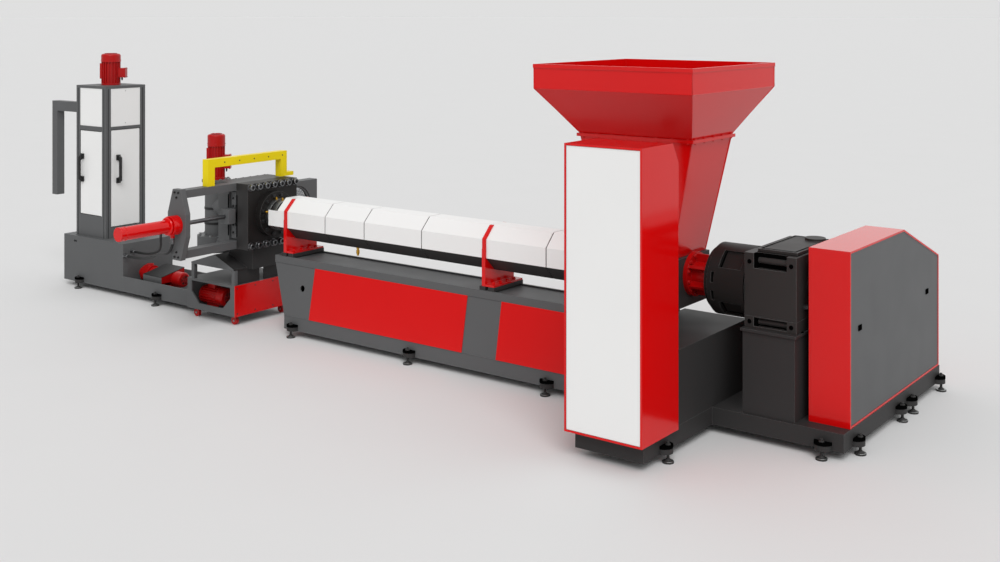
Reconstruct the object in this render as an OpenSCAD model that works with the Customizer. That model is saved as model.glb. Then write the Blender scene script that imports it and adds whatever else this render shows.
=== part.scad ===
// Plastics granulating line: drive unit and hopper, heated barrel on its bed, slide-plate
// screen changer with a die-face cutter on a trolley, and a centrifugal dryer on a water tank.
// +X runs along the barrel to the drive end, -Y is the operator's side, +Z is up.

/* [Line] */
// Height of the barrel axis over the floor
axis_z = 1053; // [1000:1:1120]
// Gap between the floor and the base frames
floor_gap = 60; // [45:1:80]
// Height of the base frame skirts
skirt_h = 127; // [110:1:150]
// Depth that a cover panel is set back from its rim
panel_set = 4; // [2:1:6]
// Thickness of a cover panel
panel_t = 8; // [5:1:12]
// Width of the painted rim round a cover panel
rim_w = 14; // [8:1:24]

/* [Feet] */
// Diameter of a levelling pad
pad_d = 80; // [60:1:95]
// Thickness of a levelling pad
pad_t = 12; // [8:1:18]
// Diameter of a levelling stud
stud_d = 20; // [16:1:24]
// Distance from a frame's face to its studs
foot_reach = 30; // [24:1:40]
// Thickness of a foot lug
lug_t = 18; // [12:1:24]
// Height of a foot lug over its frame's lower edge
lug_up = 40; // [30:1:50]
// Width of a foot's half-round lug
foot_lug_w = 120; // [100:1:136]
// Length of a levelling stud over its lug
stud_over = 24; // [16:1:32]
// Distance from the drive frame's rear end to its last foot
foot_in = 54; // [50:1:80]
// Distance from the last foot to the paired feet
foot_gap = 674; // [640:1:700]
// Distance between the paired feet
foot_pair = 238; // [200:1:270]
// Distance from the drive frame's front to its first foot
foot_front = 222; // [190:1:250]
// Distance from the drive end to the near side feet
foot_near = 144; // [120:1:170]
// Distance from the drive frame's far end to the far side feet
foot_far = 123; // [90:1:160]
// Distance from the plinth's front to its feet
plinth_foot = 273; // [240:1:300]
// Distance from the bed frame's end to its first feet
bed_foot_in = 122; // [100:1:140]
// Distance between the bed's feet
bed_foot_pitch = 1433; // [1380:1:1480]
// Distance from the water tank's far end to its feet
tank_foot = 307; // [280:1:340]
// Distance from the pump tray's near end to its feet
tray_foot = 525; // [480:1:560]

/* [Drive base] */
// Length of the main drive frame along the line
base_l = 973; // [940:1:1050]
// Drive frame in front of the barrel axis
base_front = 297; // [280:1:330]
// Drive frame behind the barrel axis
base_back = 1736; // [1650:1:1850]
// Length of the plinth under the column
plinth_l = 532; // [480:1:560]
// Plinth in front of the barrel axis
plinth_front = 1267; // [1200:1:1300]
// Plinth behind the barrel axis
plinth_back = 282; // [270:1:297]

/* [Column] */
// Width of the column along the line
column_w = 603; // [560:1:640]
// Depth of the column
column_d = 487; // [440:1:520]
// Height of the column
column_h = 1941; // [1800:1:2050]
// Overhang of the column past its plinth at the front
column_over = 87; // [40:1:120]
// Depth of the bevel at the column's top rear edge
column_bevel_d = 77; // [40:1:120]
// Height of the bevel at the column's top rear edge
column_bevel_h = 138; // [80:1:200]
// Height of the box between the column and the barrel
stand_h = 516; // [480:1:524]

/* [Gearbox] */
// Distance from the drive end to the gearbox
gearbox_in = 356; // [340:1:380]
// Length of the gearbox along the line
gearbox_l = 388; // [360:1:420]
// Gearbox in front of the barrel axis
gearbox_front = 250; // [235:1:270]
// Gearbox behind the barrel axis
gearbox_back = 530; // [480:1:560]
// Gearbox below the barrel axis
gearbox_below = 268; // [250:1:290]
// Gearbox above the barrel axis
gearbox_above = 262; // [240:1:290]
// Width of a corner lug on the gearbox face
lug_w = 70; // [55:1:90]
// Depth of the recesses between the corner lugs
lug_d = 42; // [24:1:60]
// Height of the gearbox's split over its foot
split_h = 88; // [80:1:110]
// Place of the input shaft behind the barrel axis
input_y = 390; // [375:1:400]
// Thickness of the pedestal's top plate
pedestal_top = 18; // [10:1:30]
// Overhang of the pedestal's top plate
pedestal_over = 14; // [8:1:24]
// Pedestal in front of the gearbox
pedestal_front = 30; // [16:1:40]

/* [Thrust drive] */
// Diameter of the thrust bearing drum
drum_d = 524; // [480:1:540]
// Length of the thrust bearing drum
drum_l = 333; // [300:1:360]
// Length of the spool between drum and feed throat
spool_l = 204; // [180:1:240]
// Diameter of the spool's flanges
spool_flange_d = 330; // [300:1:380]
// Diameter of the spool's waist
spool_waist_d = 190; // [170:1:220]

/* [Motor and belt] */
// Diameter of the main motor's frame
motor_d = 470; // [420:1:500]
// Length of the main motor
motor_l = 860; // [780:1:900]
// Place of the main motor behind the barrel axis
motor_y = 1150; // [1050:1:1220]
// Width of the belt guard along the line
guard_w = 296; // [270:1:310]
// Belt guard in front of the barrel axis
guard_front = 171; // [150:1:200]
// Flat top of the guard behind the barrel axis
guard_flat = 912; // [820:1:1000]
// Height of the guard
guard_h = 1200; // [1120:1:1280]
// Height of the guard's rear edge
guard_rear_h = 886; // [820:1:950]

/* [Hopper] */
// Distance from the drive end to the hopper's centre
hopper_in = 1603; // [1580:1:1625]
// Height of the hopper rim over the floor
hopper_z = 2620; // [2540:1:2700]
// Width of the square hopper mouth
mouth_w = 1338; // [1250:1:1420]
// Height of the upright band under the rim
band_h = 183; // [140:1:220]
// Height of the funnel
funnel_h = 364; // [320:1:400]
// Length of the neck along the line
neck_l = 955; // [900:1:1000]
// Width of the neck across the line
neck_w = 628; // [590:1:680]
// Height of the feed throat's top over the barrel axis
throat_up = 136; // [120:1:160]
// Length of the feed throat's mouth along the line
throat_l = 576; // [540:1:600]
// Width of the feed throat's mouth across the line
throat_w = 520; // [480:1:560]
// Thickness of the hopper's sheet
sheet = 6; // [4:1:10]
// Width of the rim and the neck flange
flange_w = 24; // [16:1:40]

/* [Barrel] */
// Diameter of the barrel
barrel_d = 250; // [220:1:270]
// Width of the eight-sided covers across flats
cover_w = 372; // [350:1:390]
// Distance from the drive end to the covers' near end
cover_in = 1940; // [1930:1:1960]
// Gap between two covers at a plain seam
cover_gap = 10; // [6:1:14]
// Width of the hoops behind the plain seams
hoop_w = 80; // [50:1:100]
// Set-back of the upper sheets of the short cover at the changer
short_top = 127; // [100:1:150]
// Thickness of a support plate along the line
support_t = 36; // [24:1:44]
// Margin of a support plate round the covers
support_rim = 10; // [6:1:14]

/* [Bed] */
// Distance from the drive end to the bed's far lip
bed_end = 5609; // [5590:1:5630]
// Inward slope of the bed's end
bed_rake = 204; // [150:1:240]
// Half width of the bed at its foot
bed_foot = 282; // [265:1:300]
// Half width of the bed under its lip
bed_neck = 200; // [190:1:215]
// Height of the bed's lip over the floor
bed_z = 711; // [690:1:730]
// Height of the lip's upright face
lip_h = 65; // [50:1:80]
// Thickness of the bed's sheets
bed_t = 14; // [10:1:20]
// Height of the bars across the bed
bar_h = 34; // [24:1:44]

/* [Screen changer] */
// Distance from the drive end to the slide's mid plane
changer_in = 6082; // [6070:1:6095]
// Gap between the two halves of the changer block
slide_gap = 109; // [95:1:115]
// Thickness of the block half at the barrel
inlet_l = 161; // [140:1:175]
// Thickness of the block half at the die
outlet_l = 157; // [140:1:180]
// Half width of the changer block across the line
block_half = 317; // [300:1:330]
// Half height of the changer block
block_up = 315; // [300:1:330]
// Height of a guide beam
beam_h = 72; // [60:1:85]
// Stroke from one breaker plate to the other
stroke = 469; // [440:1:480]
// Slide plate in front of the barrel axis
slide_front = 288; // [260:1:300]
// Diameter of a breaker plate
breaker_d = 360; // [320:1:370]
// Distance from the barrel axis to the end plate
end_plate_y = 930; // [920:1:960]
// Thickness of the end plate
end_plate_t = 55; // [40:1:70]
// Width of the end plate
end_plate_w = 255; // [230:1:280]
// Diameter of the slide's rod
rod_d = 40; // [32:1:50]
// Diameter of the cylinder's tube
cylinder_d = 122; // [110:1:135]
// Length of the cylinder
cylinder_l = 638; // [610:1:670]
// Width of the lifting bracket's square tube
bracket_w = 80; // [60:1:90]
// Height of the lifting bracket
bracket_h = 254; // [220:1:280]

/* [Cutter] */
// Distance from the drive end to the cutter's shaft
cutter_in = 6700; // [6680:1:6720]
// Diameter of the cutting chamber
chamber_d = 228; // [200:1:240]
// Cutting chamber below the barrel axis
chamber_below = 373; // [350:1:390]
// Cutting chamber above the barrel axis
chamber_above = 267; // [250:1:290]
// Diameter of the cutter's motor
cutter_motor_d = 173; // [160:1:190]
// Height of the cutter's motor
cutter_motor_h = 456; // [420:1:490]

/* [Trolley] */
// Distance from the drive end to the trolley's near face
trolley_in = 5998; // [5985:1:6010]
// Length of the trolley along the line
trolley_l = 694; // [660:1:700]
// Half width of the trolley
trolley_half = 370; // [350:1:390]
// Height of the trolley box's underside
trolley_gap = 90; // [80:1:110]
// Height of the trolley box
trolley_h = 299; // [280:1:320]
// Height of the open frame on the trolley
upper_h = 144; // [130:1:160]
// Thickness of the trolley's plates
trolley_t = 16; // [10:1:22]

/* [Dryer] */
// Distance from the drive end to the dryer base's near end
dryer_in = 6782; // [6775:1:6800]
// Length of the pump tray
tray_l = 1106; // [1050:1:1150]
// Height of the pump tray
tray_h = 160; // [140:1:180]
// Length of the water tank
tank_l = 1061; // [1020:1:1100]
// Height of the water tank
tank_h = 501; // [460:1:530]
// Dryer base in front of the barrel axis
dryer_front = 259; // [245:1:275]
// Dryer base behind the barrel axis
dryer_back = 385; // [370:1:400]
// Width of the dryer cabinet along the line
cabinet_w = 533; // [510:1:550]
// Depth of the dryer cabinet
cabinet_d = 513; // [490:1:530]
// Width of the cabinet's corner posts
post_w = 66; // [58:1:74]
// Thickness of a cabinet door
door_t = 20; // [16:1:26]
// Gap round a cabinet door
door_gap = 8; // [6:1:10]
// Height of the front door
front_door_h = 912; // [860:1:940]
// Height of the side door
side_door_h = 1045; // [980:1:1080]
// Height of the rail over the front door
front_rail_h = 56; // [48:1:70]
// Height of the rail over the side door
side_rail_h = 40; // [34:1:50]
// Height of the rail under the side door
side_sill_h = 122; // [100:1:150]
// Height of the upper panels
upper_panel_h = 414; // [390:1:430]
// Thickness of the cabinet's roof
roof_t = 28; // [20:1:36]
// Distance between a handle's feet
handle_l = 250; // [220:1:280]
// Thickness of a handle's bar
handle_d = 24; // [20:1:28]
// Height of a handle over its door
handle_out = 62; // [55:1:70]
// Height of the handles over the tank
handle_up = 744; // [710:1:780]
// Width of the discharge duct
duct_w = 95; // [85:1:110]
// Reach of the discharge duct from the cabinet
duct_reach = 784; // [740:1:820]
// Height of the duct's arm over the floor
duct_z = 1880; // [1850:1:1920]
// Length of the duct's spout under its arm
spout_l = 970; // [900:1:1050]

/* [Hidden] */
$fn = 48;

// Running clearance of a rod, pin or plate in its guide
fit = 0.3;
// Seam between two covers
seam = 0.4;
// Clearance of a pin in its bore
pin_fit = 0.05;

// Levels
base_z = floor_gap + skirt_h;
column_top = base_z + column_h;
stand_top = base_z + stand_h;
gearbox_z0 = axis_z - gearbox_below;
gearbox_z1 = axis_z + gearbox_above;
throat_z = axis_z + throat_up;
neck_z = hopper_z - band_h - funnel_h;
band_z = hopper_z - band_h;
block_z0 = axis_z - block_up;
block_z1 = axis_z + block_up;
tank_z = floor_gap + tank_h;
cabinet_h = side_sill_h + side_door_h + side_rail_h + upper_panel_h + roof_t;
cabinet_z = tank_z + cabinet_h;
trolley_z = trolley_gap + trolley_h;
upper_z = trolley_z + upper_h;

// Stations along the line, from the drive end at 0
base_x0 = -base_l;
plinth_x0 = base_x0 - plinth_l;
column_mid = base_x0 - plinth_l / 2 + 4;
column_x0 = column_mid - column_w / 2;
column_x1 = column_mid + column_w / 2;
column_y0 = -plinth_front - column_over;
column_y1 = column_y0 + column_d;
gearbox_x1 = -gearbox_in;
gearbox_x0 = gearbox_x1 - gearbox_l;
drum_x0 = gearbox_x0 - drum_l;
spool_x0 = drum_x0 - spool_l;
guard_x1 = -4;
guard_x0 = guard_x1 - guard_w;
guard_back = base_back - 6;
hopper_x = -hopper_in;
throat_x0 = hopper_x - (spool_x0 - hopper_x);
cover_x1 = -cover_in;
bed_x0 = -bed_end;
bed_x1 = plinth_x0;
changer_x = -changer_in;
inlet_x0 = changer_x + slide_gap / 2;
inlet_x1 = inlet_x0 + inlet_l;
outlet_x1 = changer_x - slide_gap / 2;
outlet_x0 = outlet_x1 - outlet_l;
cutter_x = -cutter_in;
trolley_x1 = -trolley_in;
trolley_x0 = trolley_x1 - trolley_l;
tray_x1 = -dryer_in;
tray_x0 = tray_x1 - tray_l;
tank_x0 = tray_x0 - tank_l;
cabinet_x0 = tank_x0 + 132;
cabinet_x1 = cabinet_x0 + cabinet_w;
cabinet_y0 = -dryer_front + 66;
cabinet_y1 = cabinet_y0 + cabinet_d;
cabinet_mid = [(cabinet_x0 + cabinet_x1) / 2, (cabinet_y0 + cabinet_y1) / 2];
duct_x0 = cabinet_x0 - duct_reach;
cylinder_y0 = -end_plate_y - end_plate_t - cylinder_l;

// The origin is under the middle of the whole line's box
line_x1 = foot_reach + pad_d / 2;
line_y1 = base_back + foot_reach + pad_d / 2;
origin_x = (duct_x0 + line_x1) / 2;
origin_y = (cylinder_y0 + line_y1) / 2;

// Colours
red = "#c8102a";
grey = "#4c4d4f";
dark = "#2c2d2f";
white = "#f0f0f0";
steel = "#a9adb0";
yellow = "#f2d60c";

// Shared shapes

module placed() {
    translate([-origin_x, -origin_y, 0]) children();
}

module block(x0, x1, y0, y1, z0, z1) {
    translate([x0, y0, z0]) cube([x1 - x0, y1 - y0, z1 - z0]);
}

// Extrudes a (Y, Z) outline along X
module along_x(x0, x1) {
    translate([x0, 0, 0]) rotate([90, 0, 90]) linear_extrude(x1 - x0) children();
}

// Extrudes an (X, Z) outline along Y
module along_y(y0, y1) {
    translate([0, y1, 0]) rotate([90, 0, 0]) linear_extrude(y1 - y0) children();
}

module rod_x(x0, x1, y, z, d) {
    translate([x0, y, z]) rotate([0, 90, 0]) cylinder(h = x1 - x0, d = d);
}

module rod_y(y0, y1, x, z, d) {
    translate([x, y0, z]) rotate([-90, 0, 0]) cylinder(h = y1 - y0, d = d);
}

module rod_z(z0, z1, x, y, d) {
    translate([x, y, z0]) cylinder(h = z1 - z0, d = d);
}

// Eight-sided outline with flats at its top and sides
module octagon(width) {
    rotate(180 / 8) circle(d = width / cos(180 / 8), $fn = 8);
}

// Four-sided frustum between two centred rectangles
module frustum(lower, lower_z, upper, upper_z) {
    skin = 0.01;
    hull() {
        translate([-lower[0] / 2, -lower[1] / 2, lower_z]) cube([lower[0], lower[1], skin]);
        translate([-upper[0] / 2, -upper[1] / 2, upper_z - skin]) cube([upper[0], upper[1], skin]);
    }
}

// Flange motor standing on z = 0 with its shaft down: finned frame, fan cowl and feet on its
// -x side. box_turn points the terminal box, from +x
// Turn of the upright motors, so that their terminal boxes face the back right
motor_turn = 40;

module finned_motor(d, h, fins = 20, box_turn = 0) {
    flange_t = 0.05 * h;
    cowl_h = 0.26 * h;
    cowl_d = 1.02 * d;
    fin_t = 0.035 * d;
    core_d = 0.86 * d;
    rounding = 0.12 * d;
    box_w = 0.42 * d;
    box_h = 0.3 * h;
    cylinder(h = flange_t, d = d);
    linear_extrude(h - cowl_h) {
        circle(d = core_d);
        for (i = [0:fins - 1]) {
            rotate(i * 360 / fins) translate([0, -fin_t / 2]) square([d / 2, fin_t]);
        }
    }
    translate([0, 0, h - cowl_h]) rotate_extrude() {
        square([cowl_d / 2 - rounding, cowl_h]);
        square([cowl_d / 2, cowl_h - rounding]);
        translate([cowl_d / 2 - rounding, cowl_h - rounding]) intersection() {
            circle(r = rounding);
            square(rounding);
        }
    }
    rotate(box_turn) translate([core_d / 2 - fin_t, -box_w / 2, 0.24 * h])
        cube([0.36 * d, box_w, box_h]);
    for (side = [-1, 1]) {
        translate([-d / 2 - fin_t, side * 0.2 * d - fin_t, 0.2 * h]) cube([0.2 * d, 2 * fin_t, 0.5 * h]);
    }
}

// Levelling foot against a frame's face; turn points the face's outward side
module foot(x, y, turn) {
    lug_z = floor_gap + lug_up;
    translate([x, y, 0]) rotate(turn) translate([foot_reach, 0, 0]) {
        cylinder(h = pad_t, d = pad_d);
        cylinder(h = lug_z + lug_t + stud_over, d = stud_d);
        translate([-foot_reach, 0, lug_z]) linear_extrude(lug_t) intersection() {
            circle(d = foot_lug_w);
            translate([0, -foot_lug_w / 2]) square([foot_lug_w / 2, foot_lug_w]);
        }
    }
}

// Tube swept along a list of points with eight sides
function unit(v) = v / norm(v);
function tangent(p, i) = unit(p[min(i + 1, len(p) - 1)] - p[max(i - 1, 0)]);
function ring(p, i, d, n) =
    let (t = tangent(p, i), a = unit(cross(t, [0, 1, 0])), b = cross(t, a))
    [for (k = [0:n - 1]) p[i] + d / 2 * (a * cos(360 * k / n) + b * sin(360 * k / n))];
module swept_tube(p, d, n = 8) {
    last = len(p) - 1;
    sides = [for (i = [0:last - 1], k = [0:n - 1])
        [i * n + k, i * n + (k + 1) % n, (i + 1) * n + (k + 1) % n, (i + 1) * n + k]];
    first_cap = [for (k = [0:n - 1]) n - 1 - k];
    last_cap = [for (k = [0:n - 1]) last * n + k];
    polyhedron([for (i = [0:last]) each ring(p, i, d, n)], concat([first_cap], sides, [last_cap]));
}

// Drive unit

module levelling_feet() {
    last_y = base_back - foot_in;
    pair_y = last_y - foot_gap;
    plinth_y = -plinth_front + plinth_foot;
    color(dark) placed() {
        for (y = [-base_front + foot_front, pair_y - foot_pair, pair_y, last_y]) {
            foot(0, y, 0);
        }
        for (x = [base_x0 + foot_far, -foot_near]) {
            foot(x, base_back, 90);
        }
        foot(-foot_near, -base_front, -90);
        foot(base_x0, plinth_y, 0);
        foot(plinth_x0, plinth_y, 180);
        for (i = [0:2]) {
            x = bed_x0 + bed_rake + bed_foot_in + i * bed_foot_pitch;
            foot(x, -bed_foot, -90);
            foot(x, bed_foot, 90);
        }
        for (x = [tank_x0 + tank_foot, tray_x1 - tray_foot]) {
            foot(x, -dryer_front, -90);
            foot(x, dryer_back, 90);
        }
    }
}

module drive_base() {
    color(grey) placed() {
        block(base_x0, 0, -base_front, base_back, floor_gap, base_z);
        block(plinth_x0, base_x0, -plinth_front, plinth_back, floor_gap, base_z);
    }
}

module column_shell() {
    recess = panel_set + panel_t;
    color(red) placed() difference() {
        along_x(column_x0, column_x1) polygon([
            [column_y0, base_z], [column_y1, base_z],
            [column_y1, column_top - column_bevel_h],
            [column_y1 - column_bevel_d, column_top], [column_y0, column_top]
        ]);
        block(column_x0 + rim_w, column_x1 - rim_w, column_y0 - 1, column_y0 + recess,
            base_z + rim_w, column_top - rim_w);
    }
}

module column_front() {
    color(white) placed()
        block(column_x0 + rim_w, column_x1 - rim_w, column_y0 + panel_set,
            column_y0 + panel_set + panel_t, base_z + rim_w, column_top - rim_w);
}

module feed_stand() {
    color(dark) placed()
        block(plinth_x0, base_x0, column_y1, plinth_back, base_z, stand_top);
}

module gearbox_pedestal() {
    color(dark) placed() {
        block(gearbox_x0, gearbox_x1, -gearbox_front - pedestal_front, gearbox_back, base_z,
            gearbox_z0 - pedestal_top);
        block(gearbox_x0 - pedestal_over, gearbox_x1 + pedestal_over,
            -gearbox_front - pedestal_front - pedestal_over, gearbox_back + pedestal_over,
            gearbox_z0 - pedestal_top, gearbox_z0);
    }
}

// Cast case in two halves: bolted corner lugs on both long faces with recesses between them, a
// groove at the split, and bearing caps on the input shaft that goes to the belt guard
module gearbox_case() {
    foot_t = 16;
    cover_t = 22;
    slot_h = 105;
    rib_d = 44;
    groove = 4;
    cap_d = 170;
    cap_t = 16;
    shaft_d = 90;
    split_z = gearbox_z0 + split_h;
    input_z = axis_z + 60;
    color(dark) placed() {
        for (y = [-gearbox_front + lug_d, gearbox_back - lug_d]) {
            for (z = [(gearbox_z0 + foot_t + split_z - 10) / 2, gearbox_z1 - slot_h / 2]) {
                rod_x(gearbox_x0 + lug_w / 2, gearbox_x1 - lug_w / 2, y, z, rib_d);
            }
        }
        difference() {
            union() {
                block(gearbox_x0, gearbox_x1, -gearbox_front, gearbox_back, gearbox_z0, gearbox_z1);
                block(gearbox_x0 + lug_w, gearbox_x1 - 24, -gearbox_front + lug_w, gearbox_back - lug_w,
                    gearbox_z1, gearbox_z1 + cover_t);
                rod_z(gearbox_z1, gearbox_z1 + 40, gearbox_x1 - 120, gearbox_back - 160, 150);
                rod_x(gearbox_x0 - cap_t, gearbox_x1 + cap_t, input_y, input_z, cap_d);
                rod_x(gearbox_x1, guard_x0, input_y, input_z, shaft_d);
            }
            for (face = [-gearbox_front - 1, gearbox_back - lug_d]) {
                block(gearbox_x0 + lug_w, gearbox_x1 - lug_w, face, face + lug_d + 1,
                    gearbox_z0 + foot_t, split_z - 10);
                block(gearbox_x0 + lug_w, gearbox_x1 - lug_w, face, face + lug_d + 1,
                    gearbox_z1 - slot_h, gearbox_z1 + 1);
            }
            difference() {
                block(gearbox_x0 - 1, gearbox_x1 + 1, -gearbox_front - 1, gearbox_back + 1,
                    split_z - groove / 2, split_z + groove / 2);
                block(gearbox_x0 + groove, gearbox_x1 - groove, -gearbox_front + groove,
                    gearbox_back - groove, split_z - groove, split_z + groove);
            }
        }
    }
}

// Bearing drum with windows and tool slots cut in its rim
module thrust_drum() {
    window_w = 150;
    window_l = 170;
    window_d = 30;
    slot_w = 22;
    slot_l = 76;
    color(dark) placed() difference() {
        union() {
            rod_x(drum_x0 + 40, gearbox_x0, 0, axis_z, drum_d);
            rod_x(drum_x0, drum_x0 + 40, 0, axis_z, drum_d - 70);
        }
        for (turn = [-45, 45, 135, 225]) {
            translate([0, 0, axis_z]) rotate([turn, 0, 0])
                block(gearbox_x0 - 40 - window_l, gearbox_x0 - 40, -window_w / 2, window_w / 2,
                    drum_d / 2 - window_d, drum_d);
        }
        for (turn = [78, 108, 258, 288]) {
            translate([0, 0, axis_z]) rotate([turn, 0, 0])
                block(drum_x0 + 70, drum_x0 + 70 + slot_w, -slot_l / 2, slot_l / 2,
                    drum_d / 2 - window_d, drum_d);
        }
    }
}

// Flanged spool with ribs round the drive shaft
module drive_spool() {
    ribs = 6;
    rib_t = 22;
    flange_t = 34;
    color(red) placed() translate([spool_x0, 0, axis_z]) rotate([0, 90, 0]) {
        cylinder(h = spool_l, d = spool_waist_d);
        cylinder(h = flange_t, d = spool_flange_d);
        translate([0, 0, spool_l - flange_t]) cylinder(h = flange_t, d = spool_flange_d);
        for (i = [0:ribs - 1]) {
            rotate(i * 360 / ribs) translate([0, -rib_t / 2, 0])
                cube([spool_flange_d / 2 - 12, rib_t, spool_l]);
        }
    }
}

module main_motor() {
    motor_x1 = guard_x0;
    rail_h = 60;
    motor_z = base_z + rail_h + motor_d / 2;
    rail_w = 90;
    color(red) placed() {
        translate([motor_x1, motor_y, motor_z]) rotate([0, -90, 0])
            finned_motor(motor_d, motor_l, 28, 90);
        for (side = [-1, 1]) {
            block(motor_x1 - 0.72 * motor_l, motor_x1 - 0.2 * motor_l,
                motor_y + side * 0.32 * motor_d - rail_w / 2,
                motor_y + side * 0.32 * motor_d + rail_w / 2, base_z, motor_z - 0.3 * motor_d);
        }
    }
}

module guard_outline(inset) {
    slope = (guard_h - guard_rear_h) / (guard_back - guard_flat);
    polygon([
        [-guard_front + inset, base_z + inset], [guard_back - inset, base_z + inset],
        [guard_back - inset, base_z + guard_rear_h - inset + slope * inset],
        [guard_flat - slope * inset / 2, base_z + guard_h - inset],
        [-guard_front + inset, base_z + guard_h - inset]
    ]);
}

module belt_guard() {
    recess = panel_set + panel_t;
    color(red) placed() difference() {
        along_x(guard_x0, guard_x1) guard_outline(0);
        along_x(guard_x1 - recess, guard_x1 + 1) guard_outline(rim_w);
    }
}

module guard_panel() {
    color(grey) placed()
        along_x(guard_x1 - panel_set - panel_t, guard_x1 - panel_set) guard_outline(rim_w);
}

// Hopper

module hopper_funnel() {
    lip_h2 = 30;
    inner = [mouth_w - 2 * sheet, mouth_w - 2 * sheet];
    color(red) placed() translate([hopper_x, 0, 0]) difference() {
        union() {
            translate([-mouth_w / 2, -mouth_w / 2, band_z]) cube([mouth_w, mouth_w, band_h]);
            translate([-mouth_w / 2 - 6, -mouth_w / 2 - 6, hopper_z - lip_h2])
                cube([mouth_w + 12, mouth_w + 12, lip_h2]);
            frustum([neck_l, neck_w], neck_z, [mouth_w, mouth_w], band_z + 0.01);
            translate([-neck_l / 2 - flange_w, -neck_w / 2 - flange_w, neck_z])
                cube([neck_l + 2 * flange_w, neck_w + 2 * flange_w, 2 * sheet]);
        }
        translate([-inner[0] / 2, -inner[1] / 2, band_z]) cube([inner[0], inner[1], band_h + 1]);
        frustum([neck_l - 2 * sheet, neck_w - 2 * sheet], neck_z - 0.01, inner, band_z + 0.01);
    }
}

module hopper_cone() {
    color(red) placed() translate([hopper_x, 0, 0]) difference() {
        union() {
            frustum([throat_l, throat_w], throat_z, [neck_l, neck_w], neck_z);
            translate([-neck_l / 2 - flange_w, -neck_w / 2 - flange_w, neck_z - 2 * sheet])
                cube([neck_l + 2 * flange_w, neck_w + 2 * flange_w, 2 * sheet]);
        }
        frustum([throat_l - 2 * sheet, throat_w - 2 * sheet], throat_z - 0.01,
            [neck_l - 2 * sheet, neck_w - 2 * sheet], neck_z + 0.01);
    }
}

module feed_throat() {
    inlet_l2 = 0.7 * throat_l;
    inlet_w = barrel_d - 60;
    foot_h = gearbox_below - 40;
    color(dark) placed() difference() {
        union() {
            block(throat_x0, spool_x0, -throat_w / 2, throat_w / 2, axis_z - foot_h, throat_z);
            block(throat_x0 + 40, plinth_x0 - 20, -bed_neck, bed_neck, bed_z, axis_z - foot_h);
        }
        block(hopper_x - inlet_l2 / 2, hopper_x + inlet_l2 / 2, -inlet_w / 2, inlet_w / 2,
            axis_z - 40, throat_z + 1);
    }
}

// Barrel

support_x = [-5482, -3115];
cover_seams = [-5482, -4967, -4477, -3802, -3115, -2496];
cover_x0 = -5725;

// Start and end of each full cover, leaving room for the support plates and the plain seams
function at_support(x) = len(search(x, support_x)) > 0;
function left_end(x) = x + (at_support(x) ? support_t + seam : cover_gap) / 2;
function right_end(x) = x - (at_support(x) ? support_t + seam : cover_gap) / 2;
cover_starts = [for (x = cover_seams) left_end(x)];
cover_ends = [for (i = [1:len(cover_seams)]) i < len(cover_seams) ? right_end(cover_seams[i]) : cover_x1];
plain_seams = [for (x = cover_seams) if (!at_support(x)) x];

module barrel() {
    flange_d = 440;
    flange_t = 62;
    heater_d = barrel_d + 40;
    heater_x1 = right_end(cover_seams[0]) - 20;
    color(steel) placed() {
        rod_x(inlet_x1, throat_x0, 0, axis_z, barrel_d);
        rod_x(inlet_x1, inlet_x1 + flange_t, 0, axis_z, flange_d);
        rod_x(inlet_x1 + flange_t + 15, heater_x1, 0, axis_z, heater_d);
    }
}

module cover_ring() {
    difference() {
        octagon(cover_w);
        octagon(cover_w - 2 * sheet);
    }
}

// Height of a cover's lower corner under the axis
cover_corner = cover_w / 2 * tan(180 / 8);

module upper_cover() {
    difference() {
        cover_ring();
        translate([-cover_w, -cover_w - cover_corner]) square([2 * cover_w, cover_w]);
    }
}

// Full covers, and a short one at the changer whose side plates reach past its upper sheets
module barrel_covers() {
    short_x = cover_x0 + short_top;
    color(white) placed() {
        for (i = [0:len(cover_starts) - 1]) {
            along_x(cover_starts[i], cover_ends[i]) translate([0, axis_z]) upper_cover();
        }
        along_x(short_x, right_end(cover_seams[0])) translate([0, axis_z]) upper_cover();
        along_x(cover_x0, short_x) translate([0, axis_z]) intersection() {
            cover_ring();
            translate([-cover_w, -cover_corner]) square([2 * cover_w, 2 * cover_corner - sheet]);
        }
    }
}

// Dark lower covers, and hoops that close the plain seams from inside
module barrel_undercovers() {
    color(dark) placed() {
        for (i = [0:len(cover_starts) - 1]) {
            along_x(cover_starts[i], cover_ends[i]) translate([0, axis_z]) intersection() {
                cover_ring();
                translate([-cover_w, -cover_w - cover_corner - seam]) square([2 * cover_w, cover_w]);
            }
        }
        for (x = plain_seams) {
            along_x(x - hoop_w / 2, x + hoop_w / 2) translate([0, axis_z]) difference() {
                octagon(cover_w - 2 * sheet - 2 * fit);
                octagon(cover_w - 4 * sheet - 2 * fit);
            }
        }
    }
}

module barrel_supports() {
    foot_t = 16;
    foot_l = 90;
    color(red) placed() for (x = support_x) {
        along_x(x - support_t / 2, x + support_t / 2) difference() {
            union() {
                translate([0, axis_z]) octagon(cover_w + 2 * support_rim);
                translate([-bed_neck, bed_z + bar_h]) square([2 * bed_neck, axis_z - bed_z - bar_h]);
            }
            translate([0, axis_z]) circle(d = barrel_d + 2 * fit);
            translate([-cover_w, axis_z + cover_w / 2 - 2]) square([2 * cover_w, cover_w]);
        }
        block(x, x + support_t / 2 + foot_l, -bed_neck, bed_neck, bed_z + bar_h, bed_z + bar_h + foot_t);
    }
}

// Bed

module bed_outline() {
    polygon([
        [bed_x0, bed_z], [bed_x0, bed_z - lip_h], [bed_x0 + bed_rake, base_z],
        [bed_x1, base_z], [bed_x1, bed_z]
    ]);
}

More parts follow.
